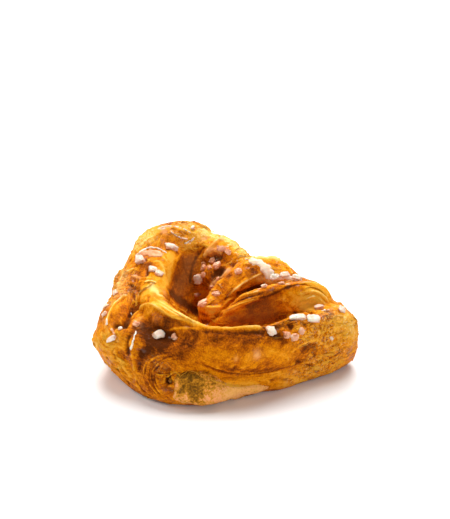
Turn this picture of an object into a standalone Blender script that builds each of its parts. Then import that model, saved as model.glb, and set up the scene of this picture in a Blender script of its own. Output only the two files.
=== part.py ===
"""A cream bun: a laminated strip rolled round a cream core, looped into a rounded triangle and tucked into itself.

Metres, +Z up. The origin is the middle of the footprint, on the tray. +X points to the tapered tip, and -Y to
the open end of the roll, where the cream shows.
"""

import math

import bmesh
import bpy
from mathutils import Vector

MM = 0.001

# Sizes in millimetres. The ropes start a little below the tray and are cut level with it, so they rest flat.
SUNK = -2.0
FLOOR_DEPTH = 10.0
FLOOR_SPREAD = 160.0
CREAM_GAP = 0.3
FOOTPRINT_MIDDLE = Vector((0.4, 0.6, 0.0))

# How finely the ropes are made, fused and thinned out.
RING_POINTS = 20
STEPS_PER_SPAN = 5
CAP_RINGS = 4
SQUARENESS = 2.5
FUSE_VOXEL = 0.8
SMOOTH_PASSES = 8
KEPT_SHARE = 0.08

# Each rope is a run of stations: x, y, underside, top, width, and tilt towards its right-hand side in degrees.
# The strip's outer turn, from the tip along the front, up the left side and back along the far side.
WALL = [
    (43.0, -6.0, SUNK, 26.0, 16.5, -6.0),
    (31.0, -12.0, SUNK, 26.0, 15.0, 0.0),
    (14.0, -21.5, SUNK, 23.5, 14.0, 0.0),
    (-4.0, -27.5, SUNK, 23.5, 13.0, 0.0),
    (-22.0, -26.8, SUNK, 25.0, 18.0, 0.0),
    (-36.0, -17.0, SUNK, 28.0, 19.0, -6.0),
    (-37.5, -2.0, SUNK, 30.5, 20.0, -2.0),
    (-33.0, 14.0, SUNK, 35.5, 21.0, 0.0),
    (-25.5, 29.3, SUNK, 43.5, 21.5, 0.0),
    (-10.0, 31.7, SUNK, 41.0, 18.0, 0.0),
    (5.0, 20.5, SUNK, 36.0, 14.0, 0.0),
    (19.0, 10.0, SUNK, 31.0, 15.0, 0.0),
    (33.0, 0.0, SUNK, 26.0, 15.0, 0.0),
]
# The fold that juts out over the tray at the left.
SIDE_FOLD = [
    (-31.0, -23.0, 4.0, 21.0, 14.0, 0.0),
    (-39.5, -18.0, 4.5, 22.0, 18.0, 0.0),
    (-41.2, -9.5, 5.5, 23.5, 16.8, 0.0),
    (-37.0, 3.0, 9.0, 26.0, 16.0, 0.0),
]
# The roll along the front, in its lower and upper bulge, with the crease between them.
ROLL_FOOT = [
    (-27.5, -20.5, SUNK, 16.0, 21.0, 0.0),
    (-21.0, -26.5, SUNK, 17.0, 26.0, 0.0),
    (-8.0, -27.0, SUNK, 15.5, 23.0, 0.0),
    (8.0, -22.5, SUNK, 13.0, 18.5, 0.0),
    (24.0, -15.5, SUNK, 13.5, 17.5, 0.0),
    (38.5, -8.0, SUNK, 13.5, 16.5, 0.0),
]
ROLL_TOP = [
    (-28.0, -22.0, 3.0, 22.5, 18.0, 0.0),
    (-20.0, -28.5, 5.0, 25.0, 17.0, 0.0),
    (-8.0, -31.0, 10.0, 26.5, 12.0, 0.0),
    (3.0, -30.3, 9.5, 27.0, 12.0, 0.0),
    (15.0, -25.5, 8.0, 27.0, 13.0, 0.0),
    (27.0, -17.7, 7.0, 26.5, 13.0, 0.0),
    (39.0, -11.0, 6.5, 25.0, 13.0, 0.0),
]
# The raised edge of the sheet, over the front and diagonally onto the left side.
RIM = [
    (42.0, -9.0, 10.0, 26.5, 14.0, 0.0),
    (29.0, -16.5, 12.0, 27.3, 10.5, 0.0),
    (16.0, -24.5, 13.0, 27.9, 8.5, 0.0),
    (4.0, -29.5, 14.0, 28.9, 8.0, 0.0),
    (-8.0, -30.0, 14.0, 30.0, 8.5, 0.0),
    (-19.0, -24.0, 13.0, 32.7, 10.0, 0.0),
    (-26.0, -15.5, 13.0, 33.5, 11.5, 0.0),
    (-28.5, -4.0, 13.0, 34.0, 14.0, 0.0),
    (-28.5, 8.0, 13.0, 36.0, 14.0, 0.0),
    (-24.0, 20.0, 13.0, 38.0, 16.0, 0.0),
]
# The far side's inner fold, and its slope down into the hollow.
BACK_FOLD = [
    (-6.5, 27.0, 10.0, 39.5, 13.0, 0.0),
    (-1.0, 23.5, 10.0, 39.0, 15.0, 0.0),
    (5.0, 19.0, 10.0, 37.5, 14.0, 0.0),
    (13.0, 13.0, 10.0, 34.5, 14.0, 0.0),
]
BACK_FOOT = [
    (-4.5, 20.5, 2.0, 32.5, 11.0, 22.0),
    (0.5, 16.5, 2.0, 34.0, 14.0, 22.0),
    (6.0, 11.5, 2.0, 32.0, 13.0, 22.0),
]
# The smooth inner wall of the hollow, which slopes down from the left side and the far corner.
INNER_SLOPE = [
    (-19.5, -12.0, 2.0, 25.0, 11.0, -20.0),
    (-22.5, -2.0, 2.0, 28.0, 12.0, -20.0),
    (-21.5, 9.0, 2.0, 30.0, 12.5, -20.0),
    (-17.0, 18.0, 2.0, 33.0, 13.0, -20.0),
    (-8.5, 23.5, 2.0, 34.0, 13.0, -15.0),
]
# The tucked-in end: its lobe, and the thin ear that curls up in front of it.
LOBE = [
    (-7.5, -6.0, 6.0, 20.0, 8.0, 0.0),
    (-3.0, -1.0, 8.0, 28.5, 11.0, 0.0),
    (5.0, 6.0, 8.0, 36.0, 14.0, 0.0),
    (13.0, 10.0, 8.0, 38.5, 16.0, 0.0),
    (23.0, 6.0, 8.0, 36.5, 14.0, 0.0),
    (32.0, 1.0, 6.0, 32.5, 12.0, 0.0),
]
EAR = [
    (-2.0, -8.5, 8.0, 24.0, 6.0, 0.0),
    (4.0, -9.0, 8.0, 31.0, 7.0, 0.0),
    (11.0, -8.0, 8.0, 34.0, 8.0, 0.0),
    (19.0, -5.5, 8.0, 34.5, 8.0, 0.0),
    (27.0, -3.5, 8.0, 35.0, 9.0, 0.0),
    (34.0, -2.5, 8.0, 33.3, 10.0, 0.0),
    (39.5, -3.5, 8.0, 27.5, 10.0, 0.0),
]
# The bottom of the hollow.
MIDDLE = [
    (-26.0, 4.0, SUNK, 12.0, 30.0, 0.0),
    (-8.0, -1.0, SUNK, 14.0, 46.0, 0.0),
    (10.0, -6.0, SUNK, 19.0, 34.0, 0.0),
    (30.0, -6.0, SUNK, 20.0, 20.0, 0.0),
]
# The cream core, open to the front at the roll's end, and thinner where it runs into the strip.
CREAM = [
    (-15.5, -34.6, 2.0, 14.4, 12.0, 0.0),
    (-9.0, -34.8, 0.8, 14.4, 12.0, 0.0),
    (-2.5, -32.3, 0.5, 9.5, 11.0, 0.0),
    (4.5, -29.2, 0.6, 6.8, 10.0, 0.0),
    (13.0, -24.3, 1.2, 6.2, 9.0, 0.0),
    (22.0, -17.8, 1.5, 6.5, 8.0, 0.0),
    (30.0, -12.8, 1.8, 7.0, 7.0, 0.0),
]
OPEN_ROPES = (SIDE_FOLD, ROLL_FOOT, ROLL_TOP, RIM, BACK_FOLD, BACK_FOOT, INNER_SLOPE, LOBE, EAR, MIDDLE)

CRUST_COLOUR = (0.62, 0.27, 0.04, 1.0)
CRUST_ROUGHNESS = 0.35
CREAM_COLOUR = (0.80, 0.58, 0.34, 1.0)
CREAM_ROUGHNESS = 0.55


def clear_scene():
    for obj in list(bpy.data.objects):
        bpy.data.objects.remove(obj)


def material(name, colour, roughness):
    made = bpy.data.materials.new(name)
    made.use_nodes = True
    shader = made.node_tree.nodes["Principled BSDF"]
    shader.inputs["Base Color"].default_value = colour
    shader.inputs["Roughness"].default_value = roughness
    made.diffuse_color = colour
    return made


def between(a, b, c, d, t):
    """A share t of the way from b to c, on a smooth curve through all four."""
    return tuple(
        0.5 * (2 * q + (r - p) * t + (2 * p - 5 * q + 4 * r - s) * t**2 + (3 * q - p - 3 * r + s) * t**3)
        for p, q, r, s in zip(a, b, c, d)
    )


def smooth_run(stations, closed):
    """The stations, with STEPS_PER_SPAN points to each gap between them."""
    count = len(stations)
    run = []
    for i in range(count if closed else count - 1):
        around = [i - 1, i, i + 1, i + 2]
        if closed:
            picked = [stations[k % count] for k in around]
        else:
            picked = [stations[min(max(k, 0), count - 1)] for k in around]
        run += [between(*picked, step / STEPS_PER_SPAN) for step in range(STEPS_PER_SPAN)]
    if not closed:
        run.append(stations[-1])
    return run


def level_side(before, after):
    """The level direction to the right of the way from one station to the next."""
    along = Vector((after[0] - before[0], after[1] - before[1], 0.0)).normalized()
    return Vector((along.y, -along.x, 0.0))


def section(station, side, grow):
    """A rounded box across the rope, as a ring of points in metres."""
    x, y, underside, top, width, tilt = station
    turn = math.radians(tilt)
    up = Vector((0.0, 0.0, 1.0))
    across = side * math.cos(turn) - up * math.sin(turn)
    rise = up * math.cos(turn) + side * math.sin(turn)
    centre = Vector((x, y, (underside + top) / 2)) - FOOTPRINT_MIDDLE
    ring = []
    for k in range(RING_POINTS):
        angle = 2 * math.pi * k / RING_POINTS
        reach = math.copysign(abs(math.cos(angle)) ** (2 / SQUARENESS), math.cos(angle))
        lift = math.copysign(abs(math.sin(angle)) ** (2 / SQUARENESS), math.sin(angle))
        offset = across * reach * (width / 2 + grow) + rise * lift * ((top - underside) / 2 + grow)
        ring.append((centre + offset) * MM)
    return ring


def end_cap(ring, inner, reach):
    """Rings that close an end as a dome, from the one next to the last section outwards."""
    middle = sum(ring, Vector()) / RING_POINTS
    outwards = (middle - sum(inner, Vector()) / RING_POINTS).normalized() * reach
    dome = []
    for k in range(1, CAP_RINGS):
        turn = k / CAP_RINGS * math.pi / 2
        dome.append([middle + (point - middle) * math.cos(turn) + outwards * math.sin(turn) for point in ring])
    return dome


def skin(bm, rings, closed):
    """Walls between neighbouring rings, and a flat face over each end of an open run."""
    loops = [[bm.verts.new(point) for point in ring] for ring in rings]
    following = loops[1:] + loops[:1] if closed else loops[1:]
    for first, second in zip(loops, following):
        for k in range(RING_POINTS):
            j = (k + 1) % RING_POINTS
            bm.faces.new((first[k], first[j], second[j], second[k]))
    if not closed:
        bm.faces.new(loops[0])
        bm.faces.new(loops[-1])


def add_rope(bm, stations, closed=False, grow=0.0):
    run = smooth_run(stations, closed)
    last = len(run) - 1
    rings = []
    for i, station in enumerate(run):
        if closed:
            side = level_side(run[i - 1], run[(i + 1) % len(run)])
        else:
            side = level_side(run[max(i - 1, 0)], run[min(i + 1, last)])
        rings.append(section(station, side, grow))
    if not closed:
        front = end_cap(rings[0], rings[1], (stations[0][4] / 2 + grow) * MM)
        back = end_cap(rings[-1], rings[-2], (stations[-1][4] / 2 + grow) * MM)
        rings = front[::-1] + rings + back
    skin(bm, rings, closed)


def rope_object(name, collection, ropes, grow=0.0, loop=None):
    """One mesh object holding the ropes, which may run through each other."""
    bm = bmesh.new()
    if loop:
        add_rope(bm, loop, closed=True, grow=grow)
    for stations in ropes:
        add_rope(bm, stations, grow=grow)
    bmesh.ops.recalc_face_normals(bm, faces=bm.faces)
    mesh = bpy.data.meshes.new(name)
    bm.to_mesh(mesh)
    bm.free()
    mesh.shade_smooth()
    obj = bpy.data.objects.new(name, mesh)
    collection.objects.link(obj)
    return obj


def as_cutter(obj):
    obj.hide_render = True
    obj.display_type = "WIRE"
    return obj


def floor_cutter(collection):
    """The space below the tray's surface."""
    bm = bmesh.new()
    bmesh.ops.create_cube(bm, size=1.0)
    bmesh.ops.scale(bm, verts=bm.verts, vec=Vector((FLOOR_SPREAD, FLOOR_SPREAD, FLOOR_DEPTH)) * MM)
    bmesh.ops.translate(bm, verts=bm.verts, vec=Vector((0.0, 0.0, -FLOOR_DEPTH / 2)) * MM)
    mesh = bpy.data.meshes.new("floor_cutter")
    bm.to_mesh(mesh)
    bm.free()
    obj = bpy.data.objects.new("floor_cutter", mesh)
    collection.objects.link(obj)
    return as_cutter(obj)


def fuse(obj):
    """Makes one soft body of the ropes, with rounded valleys where they meet."""
    remesh = obj.modifiers.new("fuse", "REMESH")
    remesh.mode = "VOXEL"
    remesh.voxel_size = FUSE_VOXEL * MM
    soften = obj.modifiers.new("soften", "SMOOTH")
    soften.factor = 0.5
    soften.iterations = SMOOTH_PASSES
    thin = obj.modifiers.new("thin_out", "DECIMATE")
    thin.ratio = KEPT_SHARE
    thin.use_collapse_triangulate = True


def cut(obj, cutter):
    boolean = obj.modifiers.new("cut_" + cutter.name, "BOOLEAN")
    boolean.operation = "DIFFERENCE"
    boolean.object = cutter


def new_collection(name):
    collection = bpy.data.collections.new(name)
    bpy.context.scene.collection.children.link(collection)
    return collection


def build():
    clear_scene()
    parts = new_collection("cream_bun")
    cutters = new_collection("cutters")
    below_tray = floor_cutter(cutters)
    channel = as_cutter(rope_object("cream_channel", cutters, [CREAM], grow=CREAM_GAP))

    dough = rope_object("dough", parts, OPEN_ROPES, loop=WALL)
    fuse(dough)
    cut(dough, below_tray)
    cut(dough, channel)
    dough.data.materials.append(material("baked_crust", CRUST_COLOUR, CRUST_ROUGHNESS))

    cream = rope_object("cream", parts, [CREAM])
    cream.data.materials.append(material("cream", CREAM_COLOUR, CREAM_ROUGHNESS))


build()
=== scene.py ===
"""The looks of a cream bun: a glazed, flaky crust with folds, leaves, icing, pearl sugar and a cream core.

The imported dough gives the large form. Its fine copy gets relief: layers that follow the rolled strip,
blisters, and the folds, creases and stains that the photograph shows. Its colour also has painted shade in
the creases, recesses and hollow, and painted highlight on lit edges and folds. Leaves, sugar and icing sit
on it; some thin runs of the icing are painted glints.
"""

import math
from collections import namedtuple

import bmesh
import bpy
import numpy as np
from mathutils import Euler, Matrix, Vector
from mathutils.bvhtree import BVHTree
from mathutils.kdtree import KDTree


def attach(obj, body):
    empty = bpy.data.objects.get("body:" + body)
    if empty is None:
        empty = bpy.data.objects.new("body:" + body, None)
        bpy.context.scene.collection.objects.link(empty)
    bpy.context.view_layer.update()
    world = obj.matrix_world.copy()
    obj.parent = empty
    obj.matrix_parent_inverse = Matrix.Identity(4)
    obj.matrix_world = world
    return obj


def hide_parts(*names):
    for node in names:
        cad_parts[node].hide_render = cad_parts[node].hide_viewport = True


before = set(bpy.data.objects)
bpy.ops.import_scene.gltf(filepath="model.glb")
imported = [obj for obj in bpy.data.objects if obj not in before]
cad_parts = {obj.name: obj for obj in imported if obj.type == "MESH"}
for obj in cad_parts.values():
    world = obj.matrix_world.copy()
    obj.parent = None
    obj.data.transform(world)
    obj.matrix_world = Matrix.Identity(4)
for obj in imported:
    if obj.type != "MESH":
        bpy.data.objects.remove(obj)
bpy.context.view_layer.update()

MM = 0.001

# The camera, from the photograph's frame and the bun's outline in it.
PHOTO_WIDTH = 450
PHOTO_HEIGHT = 519
LENS = 100.0
SENSOR = 36.0
CAMERA_PLACE = Vector((-0.0012, -0.49337, 0.2845))
CAMERA_TURN = Euler((math.radians(63.83), 0.0, 0.0))
FOCAL_PIXELS = LENS / SENSOR * PHOTO_HEIGHT

# The fine meshes of the crust and the cream: their voxel's size in millimetres, and their smoothing passes.
CRUST_VOXEL = 0.45
CRUST_PASSES = 12
CREAM_VOXEL = 0.42
CREAM_PASSES = 10

# Centre lines of the rolled strip and of its tucked-in end, in millimetres: x, y, height, half the width.
STRIP = [
    (42.6, -6.6, 12.0, 8.2), (30.6, -12.6, 12.0, 7.5), (13.6, -22.1, 11.0, 7.0), (-4.4, -28.1, 11.0, 6.5),
    (-22.4, -27.4, 12.0, 9.0), (-38.0, -18.0, 13.0, 10.0), (-39.5, -4.0, 14.5, 10.0),
    (-33.4, 13.4, 17.0, 10.5), (-25.9, 28.7, 21.0, 10.8), (-10.4, 31.1, 20.0, 9.0), (4.6, 19.9, 17.0, 7.0),
    (18.6, 9.4, 15.0, 7.5), (32.6, -0.6, 12.0, 7.5),
]
LOBE = [
    (-7.9, -6.6, 12.0, 4.0), (-3.4, -1.6, 18.0, 5.5), (4.6, 5.4, 22.0, 7.0), (12.6, 9.4, 23.0, 8.0),
    (22.6, 5.4, 22.0, 7.0), (31.6, 0.4, 19.0, 6.0),
]
EAR = [
    (-2.4, -9.1, 15.0, 3.0), (3.6, -9.6, 20.0, 3.5), (10.6, -8.6, 22.0, 4.0), (18.6, -6.1, 23.0, 4.0),
    (26.6, -4.1, 22.0, 4.5), (33.6, -3.1, 21.0, 5.0), (39.1, -4.1, 18.0, 5.0),
]
STRAND_STEP = 0.6

# Lines in the photograph are sampled at this step in pixels. A sample that lies deeper than its neighbours
# by the slip, in millimetres, has slipped past an edge. The span is how many of them are asked on each side.
LINE_STEP = 0.7
SLIP = 2.5
SLIP_SPAN = 14

# A pixel's size at the bun in millimetres, the bun's outline in the photograph, and how far in millimetres
# the crust may move, and over what reach, to match it.
PIXEL = 0.395
OUTLINE_MIDDLE = (225, 315)
OUTLINE_LIMIT = 2.4
OUTLINE_REACH = 4.0
OUTLINE = [
    (354, 315), (336, 303), (329, 293), (320, 284), (308, 278), (297, 273), (291, 267), (284, 262),
    (277, 257), (268, 256), (259, 255), (250, 257), (246, 250), (239, 247), (233, 240), (225, 236),
    (217, 235), (206, 226), (195, 222), (183, 221), (171, 221), (159, 224), (148, 229), (139, 237),
    (134, 249), (128, 259), (123, 269), (116, 280), (113, 291), (108, 303), (99, 315), (96, 329),
    (93, 342), (101, 355), (110, 366), (118, 377), (128, 386), (138, 393), (150, 398), (162, 402),
    (173, 404), (185, 405), (196, 405), (206, 405), (216, 402), (225, 399), (234, 397), (242, 395),
    (250, 393), (259, 392), (269, 391), (279, 390), (290, 387), (300, 383), (313, 379), (328, 374),
    (343, 367), (355, 357), (358, 343), (359, 329),
]

# The crust's random relief, in millimetres: the layers' pitch, and how high each kind of relief is.
LAYER_PITCH = 2.1
LAYER_HEIGHT = 0.36
FOLD_HEIGHT = 0.36
BLISTER_HEIGHT = 0.45
WRINKLE_HEIGHT = 0.26
CRUMB_HEIGHT = 0.7
RELIEF_DROP = 0.2

# Relief and colour, each along a line. Half widths and heights are in millimetres. A lip is high on the left
# of its line and drops into a recess on the right. Of the tones, bake darkens by browning and also paints
# shade along creases, in recesses and under overhangs; dusk darkens as painted shade alone; pale and peach
# lighten, and pale on lit edges, folds and crests is painted highlight; calm smooths, rough crumbles, and
# gloss adds glaze.
Mark = namedtuple("Mark", "shape half_width height tone path")
CRUST_TONES = ("bake", "pale", "peach", "dusk")
TONES = (*CRUST_TONES, "calm", "rough", "gloss")


def maker(shape):
    """A short call for marks of one shape, which takes their tones by name."""
    return lambda half_width, height=0.0, at=(), **tones: Mark(shape, half_width, height, tones, at)


swell, ridge, lip = maker("swell"), maker("ridge"), maker("lip")
crease, press, tone = maker("crease"), maker("press"), maker("tone")

# What the photograph shows, along lines of its pixels.
# Along the front edge, bake under the lip and on the rim behind the big grains is painted shade.
FRONT_EDGE_MARKS = [
    swell(1.8, 0.7, at=[(196, 322), (206, 326.5), (218, 328.5), (235, 328.5), (252, 328), (266, 327)]),
    lip(0.8, 0.45, bake=-0.22, calm=0.5,
        at=[(196, 323.5), (206, 328), (218, 329), (235, 329), (250, 328.5), (264, 329)]),
    crease(0.9, 0.25, bake=0.3, at=[(198, 330), (212, 332.5), (232, 333), (258, 333), (282, 337)]),
    tone(3.6, bake=0.36, calm=0.3, at=[(200, 340), (225, 339.5), (258, 339.5), (276, 341)]),
    tone(1.5, bake=0.15, at=[(224, 334), (240, 335), (256, 334)]),
    ridge(0.7, 0.5, bake=-0.1, at=[(264, 327), (275, 325.5), (283, 323.5), (292, 322)]),
    press(1.9, 2.4, bake=0.3,
          at=[(248, 326), (262, 324.5), (275, 321.5), (288, 318), (300, 314.5), (312, 312.5), (320, 311)]),
    tone(1.6, bake=0.25, rough=0.5, at=[(276, 325), (286, 323), (298, 322), (306, 322)]),
    tone(1.8, bake=0.42,
         at=[(256, 330), (264, 328.5), (272, 326.5), (281, 323.5), (290, 320), (300, 317), (312, 315)]),
    tone(3.0, bake=0.2, at=[(264, 334), (276, 338), (288, 342), (302, 345)]),
    tone(2.4, bake=-0.12, at=[(206, 336), (215, 337.5), (224, 336)]),
    tone(1.8, bake=0.25, at=[(186, 329), (195, 331), (204, 333)]),
    # This thin pale line on the lip is partly painted highlight.
    tone(0.8, bake=-0.2, pale=0.3, at=[(244, 329), (254, 329), (263, 328.5)]),
    crease(1.0, 0.7, bake=0.55, at=[(288, 328), (291, 327.5), (294, 329)]),
    tone(1.5, bake=0.45, at=[(277, 330), (279, 337), (287, 341)]),
    tone(1.2, bake=0.4, at=[(301, 324), (305, 325.5), (308, 327)]),
    crease(0.8, 0.4, bake=0.25, at=[(299, 312.5), (306, 311), (313, 311)]),
    tone(2.0, peach=0.25, rough=0.9, bake=0.3, at=[(322, 317), (330, 314), (338, 315)]),
    tone(3.0, rough=0.6, at=[(290, 341), (310, 336), (330, 330)]),
]
# On the tent, the bake in the pocket under the sheet's edge is painted shade, and the pale lip, ridges and
# small spots of the lit sheet are partly painted highlight.
TENT_MARKS = [
    lip(1.5, 0.7, bake=-0.28, pale=0.1, calm=0.4,
        at=[(147, 303), (157, 307), (168, 313), (179, 318), (190, 321.5), (200, 325)]),
    ridge(0.4, 0.35, pale=0.5, at=[(145, 304.5), (153, 304.5), (159, 309), (166.5, 314.5), (175, 317.5)]),
    ridge(0.4, 0.35, pale=0.45, at=[(157, 303.5), (163.5, 307.6), (170.5, 312), (178, 316), (190, 320)]),
    ridge(0.4, 0.3, pale=0.35, at=[(158, 295), (167, 300.5), (177, 307.5), (189, 316), (199, 322)]),
    ridge(0.35, 0.25, pale=0.3, at=[(155, 299), (165, 304), (176, 311), (188, 317.5)]),
    crease(0.4, 0.25, bake=0.25, at=[(160, 300.5), (170, 307), (181, 314), (193, 320)]),
    crease(0.4, 0.25, bake=0.2, at=[(164, 310.5), (174, 315), (186, 319.5)]),
    lip(0.8, 0.55, pale=0.3, bake=-0.1, at=[(149, 303), (143, 305), (137, 309), (131, 315)]),
    tone(2.4, bake=-0.2, calm=0.6, at=[(140, 311), (147, 307), (157, 311)]),
    tone(1.2, bake=-0.15, peach=0.1, at=[(152, 322), (155, 319), (160, 321)]),
    tone(2.2, bake=0.34, calm=0.5, at=[(160, 318), (170, 321), (182, 324)]),
    press(3.2, 1.2, bake=0.5, at=[(138, 323), (146, 329), (156, 335), (168, 339), (176, 341)]),
    tone(3.0, bake=0.5, calm=0.4, at=[(128, 328), (140, 325), (150, 323), (164, 328), (180, 331)]),
    tone(2.6, bake=0.5, at=[(130, 330), (139, 336), (148, 342), (158, 345), (170, 344)]),
    tone(2.8, bake=0.22, at=[(164, 335), (184, 337), (204, 338), (224, 338)]),
    tone(2.4, bake=0.3, at=[(138, 360), (146, 355), (156, 352), (168, 350)]),
    ridge(0.5, 0.25, bake=-0.3, at=[(167, 331), (173, 329), (181, 328), (190, 327.5), (200, 328.5)]),
    # A painted glint on the small ridge.
    tone(0.8, pale=0.5, gloss=0.6, at=[(184, 327), (187, 326.5)]),
    tone(0.8, pale=0.5, at=[(192, 324.5), (195, 324)]),
    swell(1.5, 0.7, peach=0.3, rough=1.0, at=[(133, 320), (138, 324), (137, 329)]),
    swell(1.0, 0.5, peach=0.25, rough=1.0, at=[(139, 317), (142, 320)]),
    tone(1.6, bake=0.35, at=[(152, 347), (145, 350), (139, 357)]),
    tone(1.6, bake=-0.15, rough=0.4, at=[(137, 341), (141, 346), (138, 351)]),
]
LEFT_MARKS = [
    crease(1.7, 2.2, bake=0.4, calm=0.5, at=[(134, 296), (134, 304), (131, 312), (126, 321), (123, 329)]),
    crease(1.1, 0.8, bake=0.35, at=[(123, 329), (117, 326), (112, 330)]),
    crease(0.9, 0.8, bake=0.3, at=[(130, 334), (127, 344), (129, 356)]),
    swell(3.0, 0.8, bake=-0.08, calm=1.0, at=[(125, 301), (117, 309), (112, 318)]),
    tone(2.2, bake=0.25, calm=0.6, at=[(130, 297), (125, 308), (119, 318), (114, 330)]),
    tone(2.8, pale=1.0, bake=-0.3, at=[(103, 306), (99, 316), (96, 326), (94, 336), (98, 348)]),
    lip(0.8, 0.9, pale=0.45, bake=-0.2,
        at=[(129, 295), (123, 297), (117, 302), (112, 309), (109, 317), (107, 326)]),
    crease(0.9, 0.9, bake=0.15, rough=0.4, at=[(128, 283), (135, 287), (139, 293)]),
    tone(1.5, peach=0.55, rough=0.9, at=[(118, 299), (123, 295), (129, 292)]),
    tone(1.7, peach=0.5, rough=1.0, at=[(101, 322), (103, 313), (108, 306), (112, 299)]),
    ridge(0.6, 0.6, pale=0.45, at=[(117, 287), (121, 280), (127, 273), (135, 269)]),
    ridge(0.6, 0.6, pale=0.4, rough=0.6, at=[(113, 290), (117, 281), (122, 273), (127, 266)]),
    ridge(0.6, 0.5, peach=0.6, gloss=0.5, at=[(131, 276), (136, 277), (141, 279)]),
    tone(2.6, bake=0.34, calm=0.4, at=[(135, 273), (142, 270), (148, 264)]),
    # Painted highlight: pale along the outer band's top edge, which the back light overexposes.
    tone(3.4, pale=0.8, bake=-0.1, rough=0.7,
         at=[(130, 262), (134, 252), (139, 243), (146, 236), (156, 229), (164, 226)]),
    tone(2.4, bake=0.35, at=[(124, 279), (130, 286), (134, 294), (133, 304)]),
    tone(1.0, bake=0.35, at=[(137, 247), (141, 241), (148, 237)]),
    ridge(0.5, 0.4, pale=0.5, at=[(140, 246), (146, 240), (154, 235)]),
    tone(2.4, pale=0.35, peach=0.35, rough=0.7, at=[(116, 296), (120, 282), (128, 268)]),
    tone(6.5, rough=0.5, bake=-0.1, at=[(99, 336), (106, 350), (118, 370)]),
    ridge(0.6, 0.5, pale=0.4, at=[(98, 330), (96, 338), (97, 343)]),
    tone(1.6, pale=0.4, at=[(98, 330), (99, 342)]),
    tone(2.4, bake=-0.15, pale=0.2, at=[(116, 340), (124, 343), (129, 348)]),
    tone(2.2, bake=0.2, calm=0.4, at=[(122, 350), (125, 356), (128, 363)]),
    crease(0.7, 0.4, bake=0.25, at=[(104, 356), (112, 365), (117, 373)]),
    ridge(0.7, 0.5, bake=-0.2, at=[(113, 350), (119, 358), (124, 368), (131, 378)]),
    ridge(0.7, 0.3, bake=-0.15, pale=0.1, at=[(132, 352), (133, 362), (134, 372)]),
    crease(0.7, 0.5, bake=0.25, at=[(110, 366), (119, 374), (130, 386)]),
    swell(1.0, 0.5, pale=0.5, at=[(117, 366), (121, 367.5)]),
    tone(1.4, peach=0.45, at=[(107, 360), (112, 364)]),
]
# The band's folds and the tent's lit band face the light: their pale is partly painted highlight.
BAND_MARKS = [
    ridge(0.7, 0.7, pale=0.65, at=[(139, 299), (139, 294), (144, 289), (149, 286), (154, 282)]),
    ridge(0.7, 0.6, pale=0.65, at=[(153, 282), (156, 289), (158, 295), (162, 298)]),
    ridge(0.7, 0.6, pale=0.7, at=[(144, 282), (150, 281), (157, 283)]),
    tone(3.2, pale=1.0, bake=-0.4, calm=0.5, at=[(148, 274), (150, 281), (153, 288), (158, 295)]),
    tone(1.6, bake=-0.2, pale=0.3, at=[(166, 272), (166, 280), (164, 290)]),
    tone(1.9, pale=0.7, bake=-0.3, calm=0.6,
         at=[(156, 298), (163.5, 303), (172, 308), (182, 314), (192, 319.5), (203, 325)]),
    tone(1.6, bake=-0.1, calm=0.5, at=[(141, 293), (142, 300)]),
    crease(0.6, 0.4, bake=0.12, at=[(144, 292), (148, 297), (146, 301)]),
    ridge(0.6, 0.5, pale=0.6, at=[(152, 262), (159, 262), (163, 267), (165, 276)]),
    ridge(0.6, 0.5, pale=0.55, at=[(155, 252), (162, 256), (167, 262)]),
    tone(2.4, pale=0.3, bake=-0.2, at=[(156, 256), (160, 268), (158, 282)]),
    tone(2.2, bake=-0.4, calm=1.0, at=[(174, 252), (171, 262), (170, 272), (169, 281), (166, 292)]),
    tone(1.3, pale=0.3, peach=0.3, calm=0.5, at=[(166, 286), (164, 294)]),
    ridge(0.7, 0.6, bake=0.15, at=[(150, 279), (143, 277), (138, 284)]),
    crease(0.9, 0.8, bake=0.35, at=[(142, 262), (147, 268), (146, 277)]),
    tone(2.4, bake=0.45, at=[(138, 262), (146, 263.5), (154, 266), (163, 271)]),
]
# The hollow's wall: its darkening here is painted shade.
WALL_MARKS = [
    tone(2.2, bake=0.7, dusk=0.2, calm=1.0,
         at=[(165, 284), (170, 292), (177, 299), (186, 304.5), (196, 311.5), (205, 318)]),
    tone(2.6, bake=0.2, calm=1.0, at=[(190, 249), (183, 257), (178, 266), (174, 278), (171, 294)]),
    tone(4.2, bake=0.3, dusk=0.55, calm=1.0,
         at=[(203, 249), (194, 256), (188, 267), (183, 280), (179, 294), (184, 305)]),
    tone(3.4, bake=0.3, calm=1.0, at=[(198, 268), (194, 282), (190, 300)]),
    tone(3.4, bake=-0.1, at=[(207, 280), (203, 288), (195, 298), (188, 308)]),
    ridge(0.6, 0.3, bake=-0.15, at=[(198, 243), (188, 247), (180, 255), (176, 262)]),
    crease(0.6, 0.4, bake=0.2, at=[(205, 246), (197, 256), (192, 270), (190, 284)]),
    tone(1.6, bake=-0.15, at=[(196, 242), (205, 243), (211, 246)]),
]
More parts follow.
